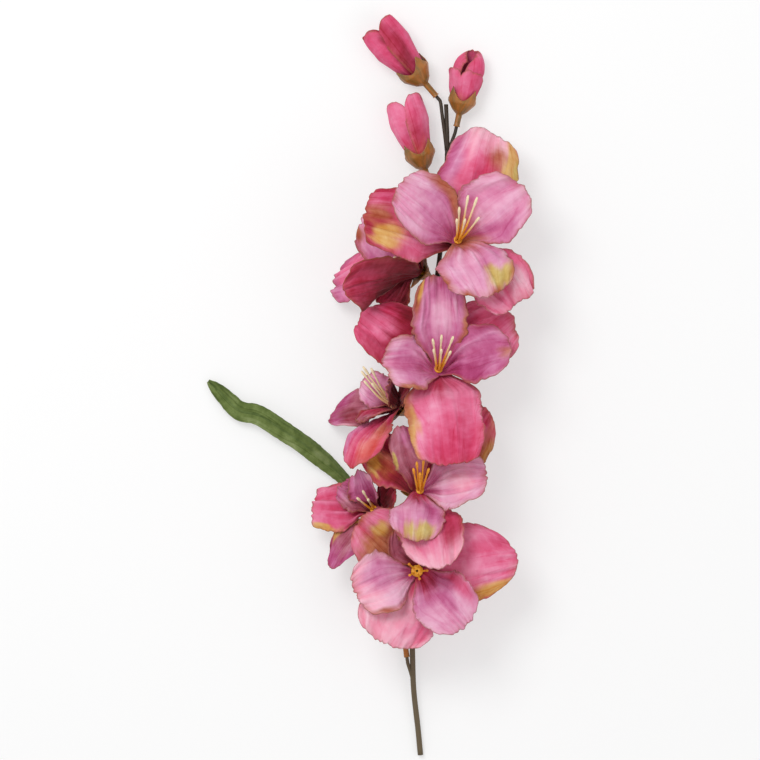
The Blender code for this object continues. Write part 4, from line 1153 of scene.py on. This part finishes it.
class GLADIOLUS_OT_stem(bpy.types.Operator):
    """Make the ridged stem with its side stubs, and give the core wire its steel"""
    bl_idname = "gladiolus.stem"
    bl_label = "Stem"

    def execute(self, context):
        colours = context.scene.spray_colours
        path = route(STEM_PATH, 4)
        radii = spread_radii((STEM_RADIUS, STEM_RADIUS, *TIP_RADII), len(path))
        radii = radii * (1 + 0.03 * wander(np.arange(len(path)) * 0.4, 0.5, 61))
        # The cut end is a ring round the bore, which is closed a little way in.
        deep = int(BORE_SHOWN / 4)
        outside = swept(path, radii, 30, 7, 0.035)
        bore = swept(path[:deep + 1], np.full(deep + 1, BORE_RADIUS), 30)
        grid = np.vstack([bore[::-1][:-1], outside[1:]])
        bars = [grid]
        for design in FLOWERS.values():
            front = axes(design["facing"])[2]
            foot = CALYX_DEPTH + design.get("tube", TUBE_LENGTH)
            bars.append(stub_grid(design["root"], np.array(design["hub"]) - front * foot, front))
        for design in BUDS.values():
            front = axes(design["facing"])[2]
            joint = np.array(design["base"]) - front * design["tube"]
            bars.append(stub_grid(design["root"], joint, front))
        foot = np.array(LEAF_FOOT[0])
        bars.append(stub_grid(LEAF_ROOT, foot, unit(np.array(LEAF_FOOT[1]) - foot)))
        dark = np.array(colours.stem_dark)
        grids = [(bar, np.broadcast_to(dark, bar.shape), grain_of(bar)) for bar in bars]
        piece("stem_coating", grids, stem_plastic(colours), "main_stem", 0.0, True)
        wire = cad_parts["stem_wire_core"]
        wire.data.materials.clear()
        wire.data.materials.append(cut_wire(colours))
        return {"FINISHED"}


class GLADIOLUS_OT_stage(bpy.types.Operator):
    """Make the white surface, the studio light and the camera that looks down"""
    bl_idname = "gladiolus.stage"
    bl_label = "Stage"

    def execute(self, context):
        scene, colours = context.scene, context.scene.spray_colours
        scene.view_settings.view_transform = "Standard"

        mesh = bpy.data.meshes.new("floor")
        half = FLOOR_SIZE / 2
        mesh.from_pydata([(-half, -half, 0), (half, -half, 0), (half, half, 0), (-half, half, 0)],
                         [], [(0, 1, 2, 3)])
        floor = bpy.data.objects.new("floor", mesh)
        scene.collection.objects.link(floor)
        look, tree, shader = blank("matt white card", Roughness=0.9, Specular_IOR_Level=0.1)
        seen = seen_directly(tree)
        card = add(tree, "MapRange", {"Value": seen, "To Min": 1.0, "To Max": CARD_SHARE})
        tone = add(tree, "VectorMath", {0: colours.floor, "Scale": card.outputs[0]},
                   operation="SCALE")
        tree.links.new(tone.outputs[0], shader.inputs["Base Color"])
        glow = add(tree, "Math", {0: seen, 1: CARD_GLOW}, operation="MULTIPLY")
        lamp = add(tree, "Emission", {"Strength": glow.outputs[0]})
        both = add(tree, "AddShader", {0: shader.outputs[0], 1: lamp.outputs[0]})
        tree.links.new(both.outputs[0], tree.nodes["Material Output"].inputs["Surface"])
        mesh.materials.append(look)

        world = bpy.data.worlds.new("white studio")
        world.use_nodes = True
        tree = world.node_tree
        level = add(tree, "MapRange", {"Value": seen_directly(tree), "To Min": SKY_LEVEL,
                                       "To Max": 1.0})
        tree.links.new(level.outputs[0], tree.nodes["Background"].inputs["Strength"])
        tree.nodes["Background"].inputs["Color"].default_value = (1.0, 1.0, 1.0, 1.0)
        scene.world = world

        for name, place, size, power in LAMPS:
            data = bpy.data.lights.new(name, "AREA")
            data.size, data.energy = size, power
            made = bpy.data.objects.new(name, data)
            made.location = place
            made.rotation_euler = (-Vector(place)).to_track_quat("-Z", "Y").to_euler()
            scene.collection.objects.link(made)

        data = bpy.data.cameras.new("camera")
        data.sensor_width = SENSOR / MM
        data.lens = SENSOR / MM * CAMERA_HEIGHT / VIEW_WIDTH
        data.clip_end = 20.0
        camera = bpy.data.objects.new("camera", data)
        low, high = CAD_BOX
        camera.location = (low + high) / 2 + VIEW_CENTRE + Vector((0, 0, CAMERA_HEIGHT))
        scene.collection.objects.link(camera)
        scene.camera = camera
        return {"FINISHED"}


class GLADIOLUS_PT_panel(bpy.types.Panel):
    """Lists the pieces of the gladiolus stem"""
    bl_idname = "GLADIOLUS_PT_panel"
    bl_label = "Gladiolus Stem"
    bl_space_type = "VIEW_3D"
    bl_region_type = "UI"
    bl_category = "Gladiolus"

    def draw(self, context):
        for made in OPERATORS:
            self.layout.operator(made.bl_idname)
        for group in (context.scene.spray_sizes, context.scene.spray_colours):
            box = self.layout.box()
            for name in group.__annotations__:
                box.prop(group, name)


OPERATORS = (GLADIOLUS_OT_stage, GLADIOLUS_OT_stem, GLADIOLUS_OT_leaf, GLADIOLUS_OT_calyxes,
             GLADIOLUS_OT_buds, GLADIOLUS_OT_stamens, GLADIOLUS_OT_flowers)
CLASSES = (SpraySizes, SprayColours, *OPERATORS, GLADIOLUS_PT_panel)


def register():
    for made in CLASSES:
        bpy.utils.register_class(made)
    bpy.types.Scene.spray_sizes = PointerProperty(type=SpraySizes)
    bpy.types.Scene.spray_colours = PointerProperty(type=SprayColours)


def unregister():
    del bpy.types.Scene.spray_colours
    del bpy.types.Scene.spray_sizes
    for made in reversed(CLASSES):
        bpy.utils.unregister_class(made)


def main():
    """Build every piece and the stage."""
    register()
    for made in OPERATORS:
        group, name = made.bl_idname.split(".")
        getattr(getattr(bpy.ops, group), name)()


if __name__ == "__main__":
    main()
